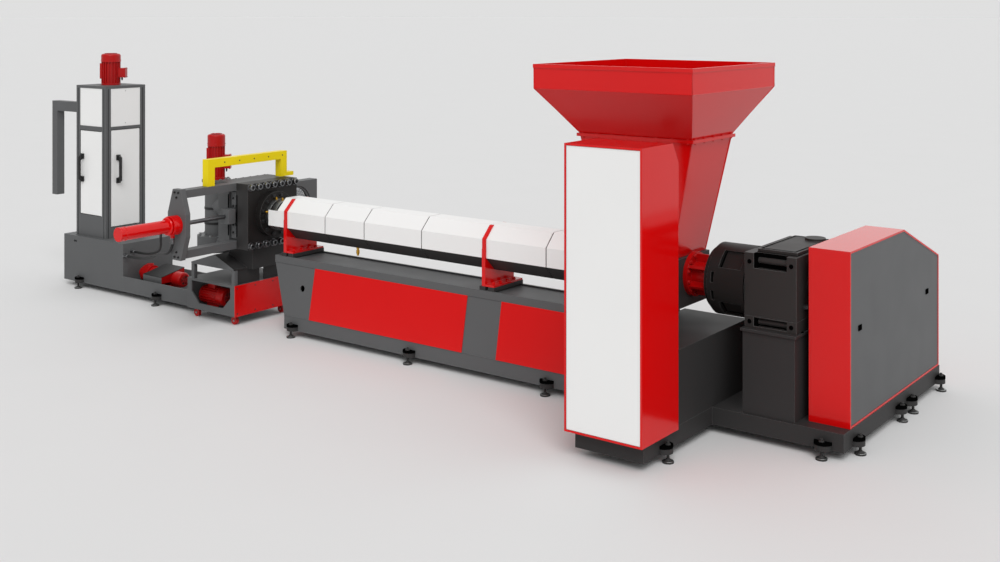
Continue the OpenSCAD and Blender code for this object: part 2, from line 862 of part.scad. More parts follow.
// Half section of the bed's sheet on the rear side
module bed_section() {
    neck_z2 = bed_z - lip_h;
    polygon([
        [bed_foot, base_z], [bed_neck, neck_z2], [bed_neck + 5, neck_z2], [bed_neck + 5, bed_z],
        [bed_neck - bed_t, bed_z], [bed_neck - bed_t, neck_z2], [bed_foot - bed_t, base_z]
    ]);
}

module bed_side() {
    intersection() {
        along_x(bed_x0, bed_x1) bed_section();
        along_y(-bed_foot - 1, bed_foot + 1) bed_outline();
    }
}

module bed_base() {
    color(grey) placed()
        block(bed_x0 + bed_rake, bed_x1, -bed_foot, bed_foot, floor_gap, base_z);
}

module bed_rear_side() {
    deck_down = 12;
    color(grey) placed() {
        bed_side();
        block(bed_x0 + bed_t, bed_x1, -bed_neck + bed_t, bed_neck - bed_t,
            bed_z - deck_down - bed_t, bed_z - deck_down);
    }
}

module bed_front_side() {
    hole_d = 60;
    color(grey) placed() difference() {
        mirror([0, 1, 0]) bed_side();
        rod_y(-bed_foot - 1, 0, bed_x0 + 398, base_z + 260, hole_d);
    }
}

module bed_end_plate() {
    neck_z2 = bed_z - lip_h;
    color(grey) placed() along_y(-bed_neck + bed_t, bed_neck - bed_t) polygon([
        [bed_x0, bed_z], [bed_x0, neck_z2], [bed_x0 + bed_rake, base_z],
        [bed_x0 + bed_rake + bed_t, base_z], [bed_x0 + bed_t, neck_z2], [bed_x0 + bed_t, bed_z]
    ]);
}

module bed_bars() {
    bar_w = 60;
    color(dark) placed() for (x = support_x) {
        for (shift = [-10, 80]) {
            block(x + shift - bar_w / 2, x + shift + bar_w / 2, -bed_neck - 5, bed_neck + 5,
                bed_z, bed_z + bar_h);
        }
    }
}

panel_spans = [[-5075, -3281], [-2925, -1640]];
module bed_panels() {
    neck_z2 = bed_z - lip_h;
    edge = 6;
    color(red) placed() for (side = [0, 1]) mirror([0, side, 0]) for (span = panel_spans) {
        along_x(span[0], span[1]) polygon([
            [bed_foot, base_z], [bed_foot + edge, base_z],
            [bed_neck + edge, neck_z2], [bed_neck, neck_z2]
        ]);
    }
}

// Screen changer

module inlet_block() {
    color(dark) placed()
        block(inlet_x0, inlet_x1, -block_half, block_half, block_z0, block_z1);
}

module outlet_block() {
    color(dark) placed()
        block(outlet_x0, outlet_x1, -block_half, block_half, block_z0, block_z1);
}

slide_t = slide_gap - 2 * fit;
slide_z0 = block_z0 + beam_h + fit;
slide_z1 = block_z1 - beam_h - fit;
slide_y0 = -slide_front;
slide_y1 = stroke + slide_front;
breaker_y = [0, stroke];

module screen_slide() {
    recess = 14;
    strip_w = 65;
    strip_t = 18;
    strip_gap = 100;
    color(steel) placed() difference() {
        union() {
            block(changer_x - slide_t / 2, changer_x + slide_t / 2, slide_y0, slide_y1, slide_z0, slide_z1);
            for (z = [slide_z0 + 20, axis_z + strip_gap]) {
                block(changer_x - strip_w / 2, changer_x + strip_w / 2, slide_y0 - strip_t, slide_y0,
                    z, z + slide_z1 - axis_z - strip_gap - 20);
            }
        }
        for (y = breaker_y) {
            rod_x(changer_x - slide_gap, changer_x + slide_gap, y, axis_z, breaker_d);
            rod_x(changer_x + slide_t / 2 - recess, changer_x + slide_gap, y, axis_z, breaker_d + 40);
        }
    }
}

module breaker_plates() {
    plate_t = 50;
    color("silver") placed() for (y = breaker_y) {
        rod_x(changer_x - plate_t / 2, changer_x + plate_t / 2, y, axis_z, breaker_d - 2 * fit);
    }
}

hub_l = 90;
hub_y1 = -block_half - 12;
bore_d = cylinder_d - 32;
gland_l = 60;
piston_l = 40;
piston_y1 = -end_plate_y - end_plate_t - gland_l - 8;

module slide_rod() {
    hub_w = 110;
    hub_h = 140;
    neck_d = 84;
    color(steel) placed() {
        rod_y(hub_y1, slide_y0, changer_x, axis_z, neck_d);
        block(changer_x - hub_w / 2, changer_x + hub_w / 2, hub_y1 - hub_l, hub_y1,
            axis_z - hub_h / 2, axis_z + hub_h / 2);
        rod_y(piston_y1 - piston_l, hub_y1 - hub_l, changer_x, axis_z, rod_d);
        rod_y(piston_y1 - piston_l, piston_y1, changer_x, axis_z, bore_d - 2 * fit);
    }
}

module guide_beams() {
    color(dark) placed() for (z = [block_z0, block_z1 - beam_h]) {
        block(outlet_x1, inlet_x0, -end_plate_y, block_half, z, z + beam_h);
    }
}

module end_plate() {
    tip_w = 112;
    side_up = 105;
    color(grey) placed() difference() {
        union() {
            along_y(-end_plate_y - end_plate_t, -end_plate_y) translate([changer_x, axis_z]) polygon([
                [-end_plate_w / 2, -side_up], [-tip_w / 2, -block_up - 12], [tip_w / 2, -block_up - 12],
                [end_plate_w / 2, -side_up], [end_plate_w / 2, side_up], [tip_w / 2, block_up + 12],
                [-tip_w / 2, block_up + 12], [-end_plate_w / 2, side_up]
            ]);
            rod_x(return_port[0], changer_x, return_port[1], return_port[2], port_d);
        }
        rod_y(-end_plate_y - end_plate_t - 1, -end_plate_y + 1, changer_x, axis_z, rod_d + 2 * fit);
    }
}

module slide_cylinder() {
    flange_d = cylinder_d + 58;
    flange_l = 90;
    cap_t = 30;
    face = -end_plate_y - end_plate_t;
    color(red) placed() difference() {
        union() {
            rod_y(cylinder_y0, face, changer_x, axis_z, cylinder_d);
            rod_y(face - flange_l, face, changer_x, axis_z, flange_d);
            rod_z(pressure_port[2], axis_z - cylinder_d / 2, pressure_port[0], pressure_port[1], port_d);
        }
        rod_y(face - gland_l, face + 1, changer_x, axis_z, rod_d + 2 * fit);
        rod_y(cylinder_y0 + cap_t, face - gland_l, changer_x, axis_z, bore_d);
    }
}

bracket_y0 = -651;
bracket_y1 = block_half + 33;
module lifting_bracket() {
    top_z = block_z1 + bracket_h;
    foot_l = 90;
    foot_t = 38;
    x0 = changer_x - bracket_w / 2;
    x1 = changer_x + bracket_w / 2;
    color(yellow) placed() {
        block(x0, x1, bracket_y0, bracket_y0 + bracket_w, block_z1, top_z);
        block(x0, x1, bracket_y1 - bracket_w, bracket_y1, block_z1, top_z);
        block(x0, x1, bracket_y0, bracket_y1, top_z - bracket_w, top_z);
        block(x0, x1, bracket_y1, bracket_y1 + foot_l, block_z1, block_z1 + foot_t);
    }
}

// Die and cutter

module die_adaptor() {
    neck_d = 200;
    face_d = 330;
    face_t = 70;
    reach = floor(sqrt(pow(chamber_d, 2) - pow(neck_d, 2)) / 2);
    color(dark) placed() difference() {
        union() {
            rod_x(cutter_x + reach, outlet_x0, 0, axis_z, neck_d);
            rod_x(outlet_x0 - face_t, outlet_x0, 0, axis_z, face_d);
        }
        rod_z(axis_z - neck_d, axis_z + neck_d, cutter_x, 0, chamber_d + 0.4);
    }
}

chamber_z0 = axis_z - chamber_below;
chamber_z1 = axis_z + chamber_above;
module cutting_chamber() {
    foot_d = 1.66 * chamber_d;
    foot_half = 0.35 * chamber_d;
    flange_t = 24;
    color(grey) placed() {
        rod_z(chamber_z0, chamber_z1, cutter_x, 0, chamber_d);
        rod_z(chamber_z0 - foot_half, chamber_z0 + foot_half, cutter_x, 0, foot_d);
        rod_z(chamber_z1 - flange_t, chamber_z1, cutter_x, 0, chamber_d + 60);
    }
}

module cutter_motor() {
    color(red) placed() translate([cutter_x, 0, chamber_z1])
        rotate(motor_turn) finned_motor(cutter_motor_d, cutter_motor_h);
}

// Trolley

module trolley_window() {
    x0 = trolley_x0 + 60;
    x1 = trolley_x1 - 60;
    z0 = trolley_gap + 60;
    z1 = trolley_z - 24;
    cut = 110;
    polygon([[x0, z1], [x1, z1], [x1, z0 + cut], [x1 - cut, z0], [x0 + cut, z0], [x0, z0 + cut]]);
}

module trolley_box() {
    color(grey) placed() difference() {
        block(trolley_x0, trolley_x1, -trolley_half, trolley_half, trolley_gap, trolley_z);
        block(trolley_x0 + trolley_t, trolley_x1 - trolley_t, -trolley_half + trolley_t,
            trolley_half - trolley_t, trolley_gap + trolley_t, trolley_z - trolley_t);
        along_y(-trolley_half - 1, trolley_half + 1) trolley_window();
    }
}

module trolley_panel() {
    color(red) placed()
        block(trolley_x1, trolley_x1 + panel_t, -trolley_half, trolley_half, trolley_gap, trolley_z);
}

module trolley_frame() {
    post = 40;
    plate_w = trolley_half - 30;
    color(dark) placed() {
        for (x = [trolley_x0 + 60, trolley_x1 - post], y = [-trolley_half, trolley_half - post]) {
            block(x, x + post, y, y + post, trolley_z, upper_z);
        }
        for (y = [-trolley_half + post + 2, trolley_half - post - 2 - plate_w + post + 2]) {
            block(trolley_x1 - post, trolley_x1 - post + trolley_t, y, y + plate_w - post - 4,
                trolley_z, upper_z);
        }
    }
}

module trolley_hood() {
    ridge = upper_z + 125;
    x0 = trolley_x0 + 60;
    x1 = trolley_x1 - 12;
    color(dark) placed() {
        along_y(-trolley_half, trolley_half) polygon([
            [x0, upper_z], [x0, upper_z + 17], [x0 + 0.55 * (x1 - x0), ridge], [x1, upper_z + 12],
            [x1, upper_z]
        ]);
        block(outlet_x0 + 30, inlet_x1 - 60, -0.55 * trolley_half, 0.55 * trolley_half, upper_z, block_z0);
    }
}

module trolley_motor() {
    d = 180;
    length = 340;
    color(red) placed()
        translate([trolley_x0 + 60, -190, trolley_gap + trolley_t + d / 2 + d * 0.035]) rotate([0, 90, 0])
            rotate(180) finned_motor(d, length);
}

module trolley_castors() {
    wheel_d = 76;
    wheel_w = 30;
    inset = 70;
    color(red) placed() for (x = [trolley_x0 + inset, trolley_x1 - inset],
            y = [-trolley_half + inset, trolley_half - inset]) {
        rod_y(y - wheel_w / 2, y + wheel_w / 2, x, wheel_d / 2, wheel_d);
        block(x - 24, x + 24, y - wheel_w / 2, y + wheel_w / 2, wheel_d / 2, trolley_gap);
    }
}

// Dryer

module water_tank() {
    slot_w = 60;
    slot_h = 22;
    color(grey) placed() difference() {
        block(tank_x0, tray_x0, -dryer_front, dryer_back, floor_gap, tank_z);
        block(tank_x0 + 180, tank_x0 + 180 + slot_w, -dryer_front - 1, -dryer_front + 20,
            tank_z - 70, tank_z - 70 + slot_h);
    }
}

// Three walls; the tank's end closes the fourth side
module pump_tray() {
    color(grey) placed() difference() {
        block(tray_x0, tray_x1, -dryer_front, dryer_back, floor_gap, floor_gap + tray_h);
        block(tray_x0 - 1, tray_x1 - bed_t, -dryer_front + bed_t, dryer_back - bed_t,
            floor_gap + bed_t, floor_gap + tray_h + 1);
    }
}

// Volute at the tank, finned motor along the line, and a control box with a sloping lid on it
module circulation_pump() {
    d = 150;
    motor_l2 = 450;
    volute_d = 180;
    volute_x0 = tray_x0 + 60;
    volute_x1 = tray_x0 + 235;
    foot_x0 = volute_x1 + 60;
    foot_x1 = volute_x1 + 300;
    foot_w = 140;
    box_x0 = volute_x1 + 18;
    box_x1 = box_x0 + 298;
    tray_floor = floor_gap + bed_t;
    pump_z = tray_floor + 151;
    color(red) placed() {
        translate([volute_x1, 0, pump_z]) rotate([0, 90, 0]) rotate(180)
            finned_motor(d, motor_l2, 24, 90);
        rod_x(tray_x0, volute_x0, 0, pump_z, 110);
        rod_x(volute_x0, volute_x1 - 60, 0, pump_z, volute_d);
        rod_x(volute_x1 - 60, volute_x1, 0, pump_z, 0.8 * volute_d);
        rod_z(pump_z, pump_z + volute_d / 2 + 12, volute_x0 + 57, 0, 76);
        block(foot_x0, foot_x1, -foot_w / 2, foot_w / 2, tray_floor, pump_z - 0.4 * d);
        along_x(box_x0, box_x1) translate([0, pump_z]) polygon([
            [-190, -25], [105, -25], [105, 98], [-190, 38]
        ]);
    }
}

front_door_z = cabinet_z - roof_t - upper_panel_h - front_rail_h - front_door_h;
side_door_z = tank_z + side_sill_h;
opening_x0 = cabinet_x0 + post_w;
opening_x1 = cabinet_x1 - post_w;
opening_y0 = cabinet_y0 + post_w;
opening_y1 = cabinet_y1 - post_w;
pin_d = 12;
pin_in = 12;
pin_l = 14;
front_pin = [opening_x1 - door_gap - pin_in, cabinet_y0 + panel_set + door_t / 2];
side_pin = [cabinet_x1 - panel_set - door_t / 2, opening_y1 - door_gap - pin_in];

module dryer_posts() {
    color(grey) placed() for (x = [cabinet_x0, opening_x1], y = [cabinet_y0, opening_y1]) {
        block(x, x + post_w, y, y + post_w, tank_z, cabinet_z - roof_t);
    }
}

module dryer_rails() {
    upper_z2 = cabinet_z - roof_t - upper_panel_h;
    color(grey) placed() {
        difference() {
            union() {
                block(opening_x0, opening_x1, cabinet_y0, opening_y0, tank_z, front_door_z - door_gap);
                block(opening_x0, opening_x1, cabinet_y0, opening_y0,
                    front_door_z + front_door_h + door_gap, upper_z2);
            }
            rod_z(front_door_z - door_gap - pin_l - 1, front_door_z + front_door_h + door_gap + pin_l + 1,
                front_pin[0], front_pin[1], pin_d + 2 * pin_fit);
        }
        difference() {
            union() {
                block(opening_x1, cabinet_x1, opening_y0, opening_y1, tank_z, side_door_z - door_gap);
                block(opening_x1, cabinet_x1, opening_y0, opening_y1,
                    side_door_z + side_door_h + door_gap, upper_z2);
            }
            rod_z(side_door_z - door_gap - pin_l - 1, side_door_z + side_door_h + door_gap + pin_l + 1,
                side_pin[0], side_pin[1], pin_d + 2 * pin_fit);
        }
    }
}

module dryer_panels() {
    upper_z2 = cabinet_z - roof_t - upper_panel_h;
    color(white) placed() {
        block(opening_x0, opening_x1, cabinet_y0 + panel_set, cabinet_y0 + panel_set + door_t,
            upper_z2, cabinet_z - roof_t);
        block(cabinet_x1 - panel_set - door_t, cabinet_x1 - panel_set, opening_y0, opening_y1,
            upper_z2, cabinet_z - roof_t);
        block(opening_x0, opening_x1, cabinet_y1 - panel_set - door_t, cabinet_y1 - panel_set,
            tank_z, cabinet_z - roof_t);
        block(cabinet_x0 + panel_set, cabinet_x0 + panel_set + door_t, opening_y0, opening_y1,
            tank_z, cabinet_z - roof_t);
    }
}

module dryer_roof() {
    color(grey) placed()
        block(cabinet_x0, cabinet_x1, cabinet_y0, cabinet_y1, cabinet_z - roof_t, cabinet_z);
}

module dryer_screen() {
    screen_d = cabinet_d - 2 * post_w - 10;
    color("silver") placed()
        rod_z(tank_z, cabinet_z - roof_t, cabinet_mid[0], cabinet_mid[1], screen_d);
}

module front_door() {
    color(white) placed() {
        block(opening_x0 + door_gap, opening_x1 - door_gap, cabinet_y0 + panel_set,
            cabinet_y0 + panel_set + door_t, front_door_z, front_door_z + front_door_h);
        rod_z(front_door_z - door_gap - pin_l, front_door_z + front_door_h + door_gap + pin_l,
            front_pin[0], front_pin[1], pin_d);
    }
}

module side_door() {
    color(white) placed() {
        block(cabinet_x1 - panel_set - door_t, cabinet_x1 - panel_set, opening_y0 + door_gap,
            opening_y1 - door_gap, side_door_z, side_door_z + side_door_h);
        rod_z(side_door_z - door_gap - pin_l, side_door_z + side_door_h + door_gap + pin_l,
            side_pin[0], side_pin[1], pin_d);
    }
}

// Bridge handle standing on z = 0 along y: a bar with bevelled shoulders on two wider feet
module bridge_handle() {
    half = handle_l / 2;
    foot_l = 48;
    foot_t = 22;
    foot_w = 42;
    outer = half + foot_l / 2;
    inner = half - foot_l / 2;
    under = handle_out - handle_d;
    along_x(-handle_d / 2, handle_d / 2) polygon([
        [-outer, 0], [-outer, handle_d], [-half, handle_out], [half, handle_out], [outer, handle_d],
        [outer, 0], [inner, 0], [inner, under - foot_t], [inner - foot_t, under],
        [foot_t - inner, under], [-inner, under - foot_t], [-inner, 0]
    ]);
    for (y = [-half, half]) {
        translate([-foot_w / 2, y - 0.6 * foot_l, 0]) cube([foot_w, 1.2 * foot_l, foot_t]);
    }
}

handle_z = tank_z + handle_up;
module front_handle() {
    color("#1d1d1d") placed()
        translate([opening_x0 + door_gap + 44, cabinet_y0 + panel_set, handle_z]) rotate([90, 0, 0])
            bridge_handle();
}

module side_handle() {
    color("#1d1d1d") placed()
        translate([cabinet_x1 - panel_set, opening_y0 + door_gap + 83, handle_z]) rotate([90, 0, 90])
            bridge_handle();
}

module dryer_motor() {
    motor_h = 344;
    color(red) placed() translate([cabinet_mid[0], cabinet_mid[1], cabinet_z])
        rotate(motor_turn) finned_motor(205, motor_h);
}

duct_h = 112;
duct_t = 5;
duct_y0 = cabinet_mid[1] - duct_w / 2;
duct_y1 = cabinet_mid[1] + duct_w / 2;
module duct_arm() {
    color(grey) placed()
        block(duct_x0, cabinet_x0 + panel_set, duct_y0, duct_y1, duct_z, duct_z + duct_h);
}

module duct_spout() {
    color(grey) placed() difference() {
        block(duct_x0, duct_x0 + duct_w, duct_y0, duct_y1, duct_z - spout_l, duct_z);
        block(duct_x0 + duct_t, duct_x0 + duct_w - duct_t, duct_y0 + duct_t, duct_y1 - duct_t,
            duct_z - spout_l - 1, duct_z - duct_t);
    }
}

// Hydraulic hoses

hose_d = 26;
port_d = 40;
port_l = 26;
pressure_port = [changer_x, -end_plate_y - end_plate_t - 45, axis_z - cylinder_d / 2 - 29 - port_l];
return_port = [changer_x - end_plate_w / 2 - port_l, -end_plate_y - end_plate_t / 2, axis_z - 90];
tank_port = [tray_x0, -240, 436];
tank_port_rear = [tray_x0, -150, 470];
pressure_route = [
    pressure_port, pressure_port - [0, 0, 32], [-6091, -1029, 868], [-6117, -1024, 828],
    [-6158, -1014, 796], [-6213, -999, 775], [-6281, -967, 760], [-6368, -917, 742],
    [-6484, -852, 716], [-6620, -778, 684], [-6776, -690, 643], [-6950, -594, 595],
    [-7132, -495, 547], [-7315, -402, 505], [-7480, -330, 473], [-7625, -279, 450],
    [-7741, -250, 438], tank_port + [60, 0, 0], tank_port
];
return_route = [
    return_port, return_port - [35, 0, 0], [-6316, -952, 957], [-6365, -934, 941], [-6413, -906, 916],
    [-6469, -866, 880], [-6546, -808, 832], [-6642, -733, 780], [-6757, -645, 727],
    [-6892, -548, 675], [-7037, -452, 625], [-7190, -360, 577], [-7344, -280, 535],
    [-7488, -222, 503], [-7624, -180, 482], [-7741, -158, 472], tank_port_rear + [60, 0, 0],
    tank_port_rear
];

module pressure_hose() {
    color("#151515") placed() swept_tube(pressure_route, hose_d);
}

module return_hose() {
    color("#151515") placed() swept_tube(return_route, hose_d);
}

levelling_feet();
drive_base();
column_shell();
column_front();
feed_stand();
gearbox_pedestal();
gearbox_case();
thrust_drum();
drive_spool();
main_motor();
belt_guard();
guard_panel();
hopper_funnel();
hopper_cone();
feed_throat();
barrel();
barrel_covers();
barrel_undercovers();
barrel_supports();
bed_base();
bed_front_side();
bed_rear_side();
bed_end_plate();
bed_bars();
bed_panels();
inlet_block();
outlet_block();
screen_slide();
breaker_plates();
slide_rod();
guide_beams();
end_plate();
slide_cylinder();
lifting_bracket();
die_adaptor();
cutting_chamber();
cutter_motor();
trolley_box();
trolley_panel();
trolley_frame();
trolley_hood();
trolley_motor();
trolley_castors();
water_tank();
pump_tray();
circulation_pump();
dryer_posts();
dryer_rails();
dryer_panels();
dryer_roof();
dryer_screen();
front_door();
side_door();
front_handle();
side_handle();
dryer_motor();
duct_arm();
duct_spout();
pressure_hose();
return_hose();
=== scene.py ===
import math

import bmesh
import bpy
from bpy.props import FloatProperty, FloatVectorProperty, IntProperty, PointerProperty
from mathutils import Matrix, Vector


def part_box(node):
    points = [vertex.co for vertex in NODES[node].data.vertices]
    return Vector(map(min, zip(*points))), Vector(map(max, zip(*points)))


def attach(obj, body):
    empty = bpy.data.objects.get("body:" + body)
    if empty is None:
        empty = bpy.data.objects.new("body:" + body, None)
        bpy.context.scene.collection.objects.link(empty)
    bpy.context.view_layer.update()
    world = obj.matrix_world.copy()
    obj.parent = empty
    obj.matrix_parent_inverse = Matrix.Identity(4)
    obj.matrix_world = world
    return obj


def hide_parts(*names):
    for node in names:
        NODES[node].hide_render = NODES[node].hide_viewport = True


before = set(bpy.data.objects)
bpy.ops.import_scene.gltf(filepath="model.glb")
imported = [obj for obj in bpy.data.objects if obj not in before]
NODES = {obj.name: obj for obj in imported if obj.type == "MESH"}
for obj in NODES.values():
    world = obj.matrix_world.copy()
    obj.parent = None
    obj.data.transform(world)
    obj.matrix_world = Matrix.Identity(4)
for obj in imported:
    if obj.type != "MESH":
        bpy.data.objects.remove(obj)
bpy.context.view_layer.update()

bl_info = {
    "name": "Granulating line dresser",
    "version": (1, 0, 0),
    "blender": (4, 5, 0),
    "location": "3D View > Sidebar > Granulator",
    "description": "Finishes, fasteners, hoses and studio for a plastics granulating line",
    "category": "Object",
}

ROOT = "line_frame"
MM = 0.001
UP = Vector((0, 0, 1))
RIGHT = Vector((1, 0, 0))
BACK = Vector((0, 1, 0))


def linear(code):
    """Turn an sRGB hex colour into the linear colour that the shaders use"""
    channels = [int(code[i:i + 2], 16) / 255 for i in (1, 3, 5)]
    return [c / 12.92 if c <= 0.04045 else ((c + 0.055) / 1.055) ** 2.4 for c in channels] + [1.0]


def length(name, description, default_mm):
    """Length property, written in millimetres and kept in metres"""
    return FloatProperty(name=name, description=description, default=default_mm * MM, unit="LENGTH")


def colour(name, description, code):
    """Colour property written as an sRGB hex value"""
    return FloatVectorProperty(
        name=name, description=description, default=linear(code), size=4, min=0, max=1, subtype="COLOR")


# Places taken from the frame: the drive end, and the barrel axis that the whole line follows
barrel_low, barrel_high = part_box("barrel")
DRIVE_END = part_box("drive_base")[1].x
AXIS = (barrel_low + barrel_high) / 2


def on_line(x, y, z):
    """Point given in millimetres from the drive end, the barrel axis and the floor"""
    return Vector((DRIVE_END + x * MM, AXIS.y + y * MM, z * MM))


# Settings that a user would change


class LineSizes(bpy.types.PropertyGroup):
    """Sizes of the fasteners, hoses and trim"""

    hose_d: length("Hose diameter", "Outer diameter of the hydraulic hoses", 26)
    block_bolt_d: length("Block bolt", "Head diameter of the changer block's bolts", 60)
    block_bolt_pitch: length("Block bolt pitch", "Distance between the block's bolts", 94)
    # The gearbox bolts' dark rims are painted shade
    case_bolt_d: length("Case bolt", "Width of the gearbox bolts, with their dark rims", 26)
    screw_d: length("Screw", "Head diameter of small screws", 14)
    nut_d: length("Foot nut", "Width over corners of the nuts on the levelling studs", 40)
    weld_r: length("Weld bead", "Radius of a weld bead", 4)
    latch_w: length("Latch", "Width of a quarter-turn latch", 60)
    screen_hole_d: length("Plate hole", "Diameter of the holes in a breaker plate", 13)
    screen_pitch: length("Plate hole pitch", "Distance between the holes in a breaker plate", 19)
    block_bolts: IntProperty(
        name="Block bolts", description="Bolts in a row on the changer block", default=7, min=3, max=9)


class LineColours(bpy.types.PropertyGroup):
    """Colours of the finishes"""

    red: colour("Red enamel", "Hopper, column and guard", "#D70708")
    motor: colour("Motor red", "Motors, pump and spool", "#B00607")
    grey: colour("Grey paint", "Bed, tank and frames", "#5D5E5F")
    # On the drive base and feed stand this dark paint is painted shade
    dark: colour("Dark paint", "Pedestal, drive base and undercovers", "#353434")
    cast: colour("Cast iron paint", "Gearbox", "#31302F")
    black: colour("Black casting paint", "Changer block, drum and barrel", "#1D1B1A")
    white: colour("White enamel", "Covers and doors", "#EDEDEC")
    yellow: colour("Yellow paint", "Lifting bracket", "#F0D806")
    steel: colour("Steel", "Breaker plates and dryer screen", "#B9BBBD")
    zinc: colour("Zinc plate", "Nuts, screws, foot rims and heater bands", "#A9ABAA")
    oiled: colour("Oiled steel", "Slide rod, hose crimps and bolt heads of the changer", "#77787A")
    brass: colour("Brass", "Fittings and heater clamps", "#D9A83C")
    plastic: colour("Black plastic", "Door handles", "#19191A")
    rubber: colour("Black rubber", "Hoses and seals", "#141415")
    # Black oxide is also the painted shade at the bottoms of holes and sockets
    oxide: colour("Black oxide", "Screws and hole bottoms", "#171718")
    # Matt lacquer is also the painted shade in grooves, recesses and gaps, and on the foot caps
    lacquer: colour("Matt lacquer", "Caps, latches and grooves", "#060606")
    floor: colour("Floor", "Studio floor", "#E1E1E1")


class StudioLight(bpy.types.PropertyGroup):
    """Strength of the lamp and the sky"""

    sky: FloatProperty(name="Sky", description="Strength of the soft light all round", default=0.62, min=0)
    lamp: FloatProperty(name="Lamp", description="Strength of the broad lamp in front", default=1.6, min=0)
    spread: FloatProperty(name="Lamp spread", description="Angle over which the lamp is spread",
                          default=math.radians(38), min=0, subtype="ANGLE")
    backdrop: FloatProperty(name="Backdrop", description="Brightness of the backdrop behind the line",
                            default=0.742, min=0, max=1)
    front_room: FloatProperty(name="Front room", description="Brightness of the room that front faces mirror",
                              default=0.3, min=0, max=1)


def sizes():
    return bpy.context.scene.line_sizes


def colours():
    return bpy.context.scene.line_colours


# Finishes: grains finer than a few millimetres are drawn coarser than they are, so that they show


def add_node(tree, kind, inputs=None, **settings):
    """Add a node with its settings; inputs gives each socket a value or the socket that feeds it"""
    made = tree.nodes.new(kind)
    for key, value in settings.items():
        setattr(made, key, value)
    for socket, value in (inputs or {}).items():
        if isinstance(value, bpy.types.NodeSocket):
            tree.links.new(value, made.inputs[socket])
        else:
            made.inputs[socket].default_value = value
    return made


def empty_material(name):
    """New material and its node tree, without any node"""
    material = bpy.data.materials.new(name)
    material.use_nodes = True
    material.node_tree.nodes.clear()
    return material, material.node_tree


def soft_normal(tree, radius_mm):
    """Normal that rounds sharp edges off"""
    return add_node(tree, "ShaderNodeBevel", {"Radius": radius_mm * MM}, samples=4).outputs["Normal"]


def edge_mask(tree, normal):
    """Mask that is 1 on a sharp edge, where the softened normal leaves the face's own"""
    face = add_node(tree, "ShaderNodeNewGeometry")
    match = add_node(tree, "ShaderNodeVectorMath", {0: normal, 1: face.outputs["Normal"]},
                     operation="DOT_PRODUCT")
    return add_node(tree, "ShaderNodeMapRange", {
        "Value": match.outputs["Value"], "From Min": 0.995, "From Max": 0.8,
        "To Min": 0.0, "To Max": 1.0}).outputs["Result"]


def shaded(code, share):
    """Colour that keeps a share of its brightness"""
    return [c * share for c in code[:3]] + [1]


def grain(tree, size_mm, detail=2.0, stretch=(1, 1, 1)):
    """Noise whose spots are about size_mm across, measured on the object itself"""
    place = add_node(tree, "ShaderNodeTexCoord")
    mapped = add_node(tree, "ShaderNodeMapping", {"Vector": place.outputs["Object"], "Scale": stretch})
    return add_node(tree, "ShaderNodeTexNoise", {
        "Vector": mapped.outputs["Vector"], "Scale": 1 / (size_mm * MM), "Detail": detail}).outputs["Fac"]


# Patches over which the tone or gloss of a finish drifts, in millimetres
COAT_TONE = 500
COAT_GLOSS = 260
METAL_TONE = 90
MOULDING_TONE = 60
FLOOR_TONE = 900

# Depth of a coat's skin, and of the grain on bare metal and mouldings
COAT_DEPTH = 0.6 * MM
GRAIN_DEPTH = 0.5 * MM


def paint(name, code, roughness, peel_mm, peel, specular=0.5, drift=0.06, edge_highlight=0.25, edge_mm=3.0):
    """Sprayed paint: a slow drift of tone, an orange-peel skin, and a painted highlight that lightens its
    sharp edges
    """
    material, tree = empty_material(name)
    normal = soft_normal(tree, edge_mm)
    # Painted highlight: sharp edges are lightened towards white
    highlight_colour = [c + (1 - c) * edge_highlight * 0.2 for c in code[:3]] + [1]
    tone = add_node(tree, "ShaderNodeMix", {
        0: grain(tree, COAT_TONE, 1.0), 6: shaded(code, 1 - drift), 7: list(code)}, data_type="RGBA")
    highlighted_tone = add_node(tree, "ShaderNodeMix", {
        0: edge_mask(tree, normal), 6: tone.outputs[2], 7: highlight_colour}, data_type="RGBA")
    gloss = add_node(tree, "ShaderNodeMapRange", {
        "Value": grain(tree, COAT_GLOSS, 1.0), "From Min": 0.0, "From Max": 1.0,
        "To Min": roughness * 0.88, "To Max": roughness * 1.12})
    skin = add_node(tree, "ShaderNodeBump", {
        "Height": grain(tree, peel_mm, 1.0), "Strength": peel, "Distance": COAT_DEPTH, "Normal": normal})
    shader = add_node(tree, "ShaderNodeBsdfPrincipled", {
        "Base Color": highlighted_tone.outputs[2], "Roughness": gloss.outputs["Result"], "Normal": skin.outputs["Normal"],
        "Specular IOR Level": specular, "IOR": 1.5})
    add_node(tree, "ShaderNodeOutputMaterial", {"Surface": shader.outputs["BSDF"]})
    return material


def red_enamel():
    # Stoved enamel on sheet steel: a smooth gloss that mirrors the room, with a faint orange peel
    return paint("red_stoved_enamel", colours().red, roughness=0.12, peel_mm=12, peel=0.02, specular=0.36)


def motor_red():
    # Enamel over die-cast aluminium: a deeper red, broken up by the rough casting
    return paint("red_enamel_on_casting", colours().motor, roughness=0.34, peel_mm=5, peel=0.2,
                 specular=0.3, edge_mm=2.0)


def grey_powder():
    # Powder coat on welded plate: satin, with a fine grit that is drawn coarser so that it shows
    return paint("grey_powder_coat", colours().grey, roughness=0.5, peel_mm=6, peel=0.08,
                 specular=0.22, drift=0.08, edge_highlight=0.5)


def dark_powder_and_shade():
    # Powder coat in a darker grey on the undercovers and trolley, with the same grit. On the drive base and
    # feed stand the darker grey is painted shade
    return paint("dark_powder_coat_and_painted_shade", colours().dark, roughness=0.52, peel_mm=6, peel=0.1,
                 specular=0.2, drift=0.1, edge_highlight=0.5)


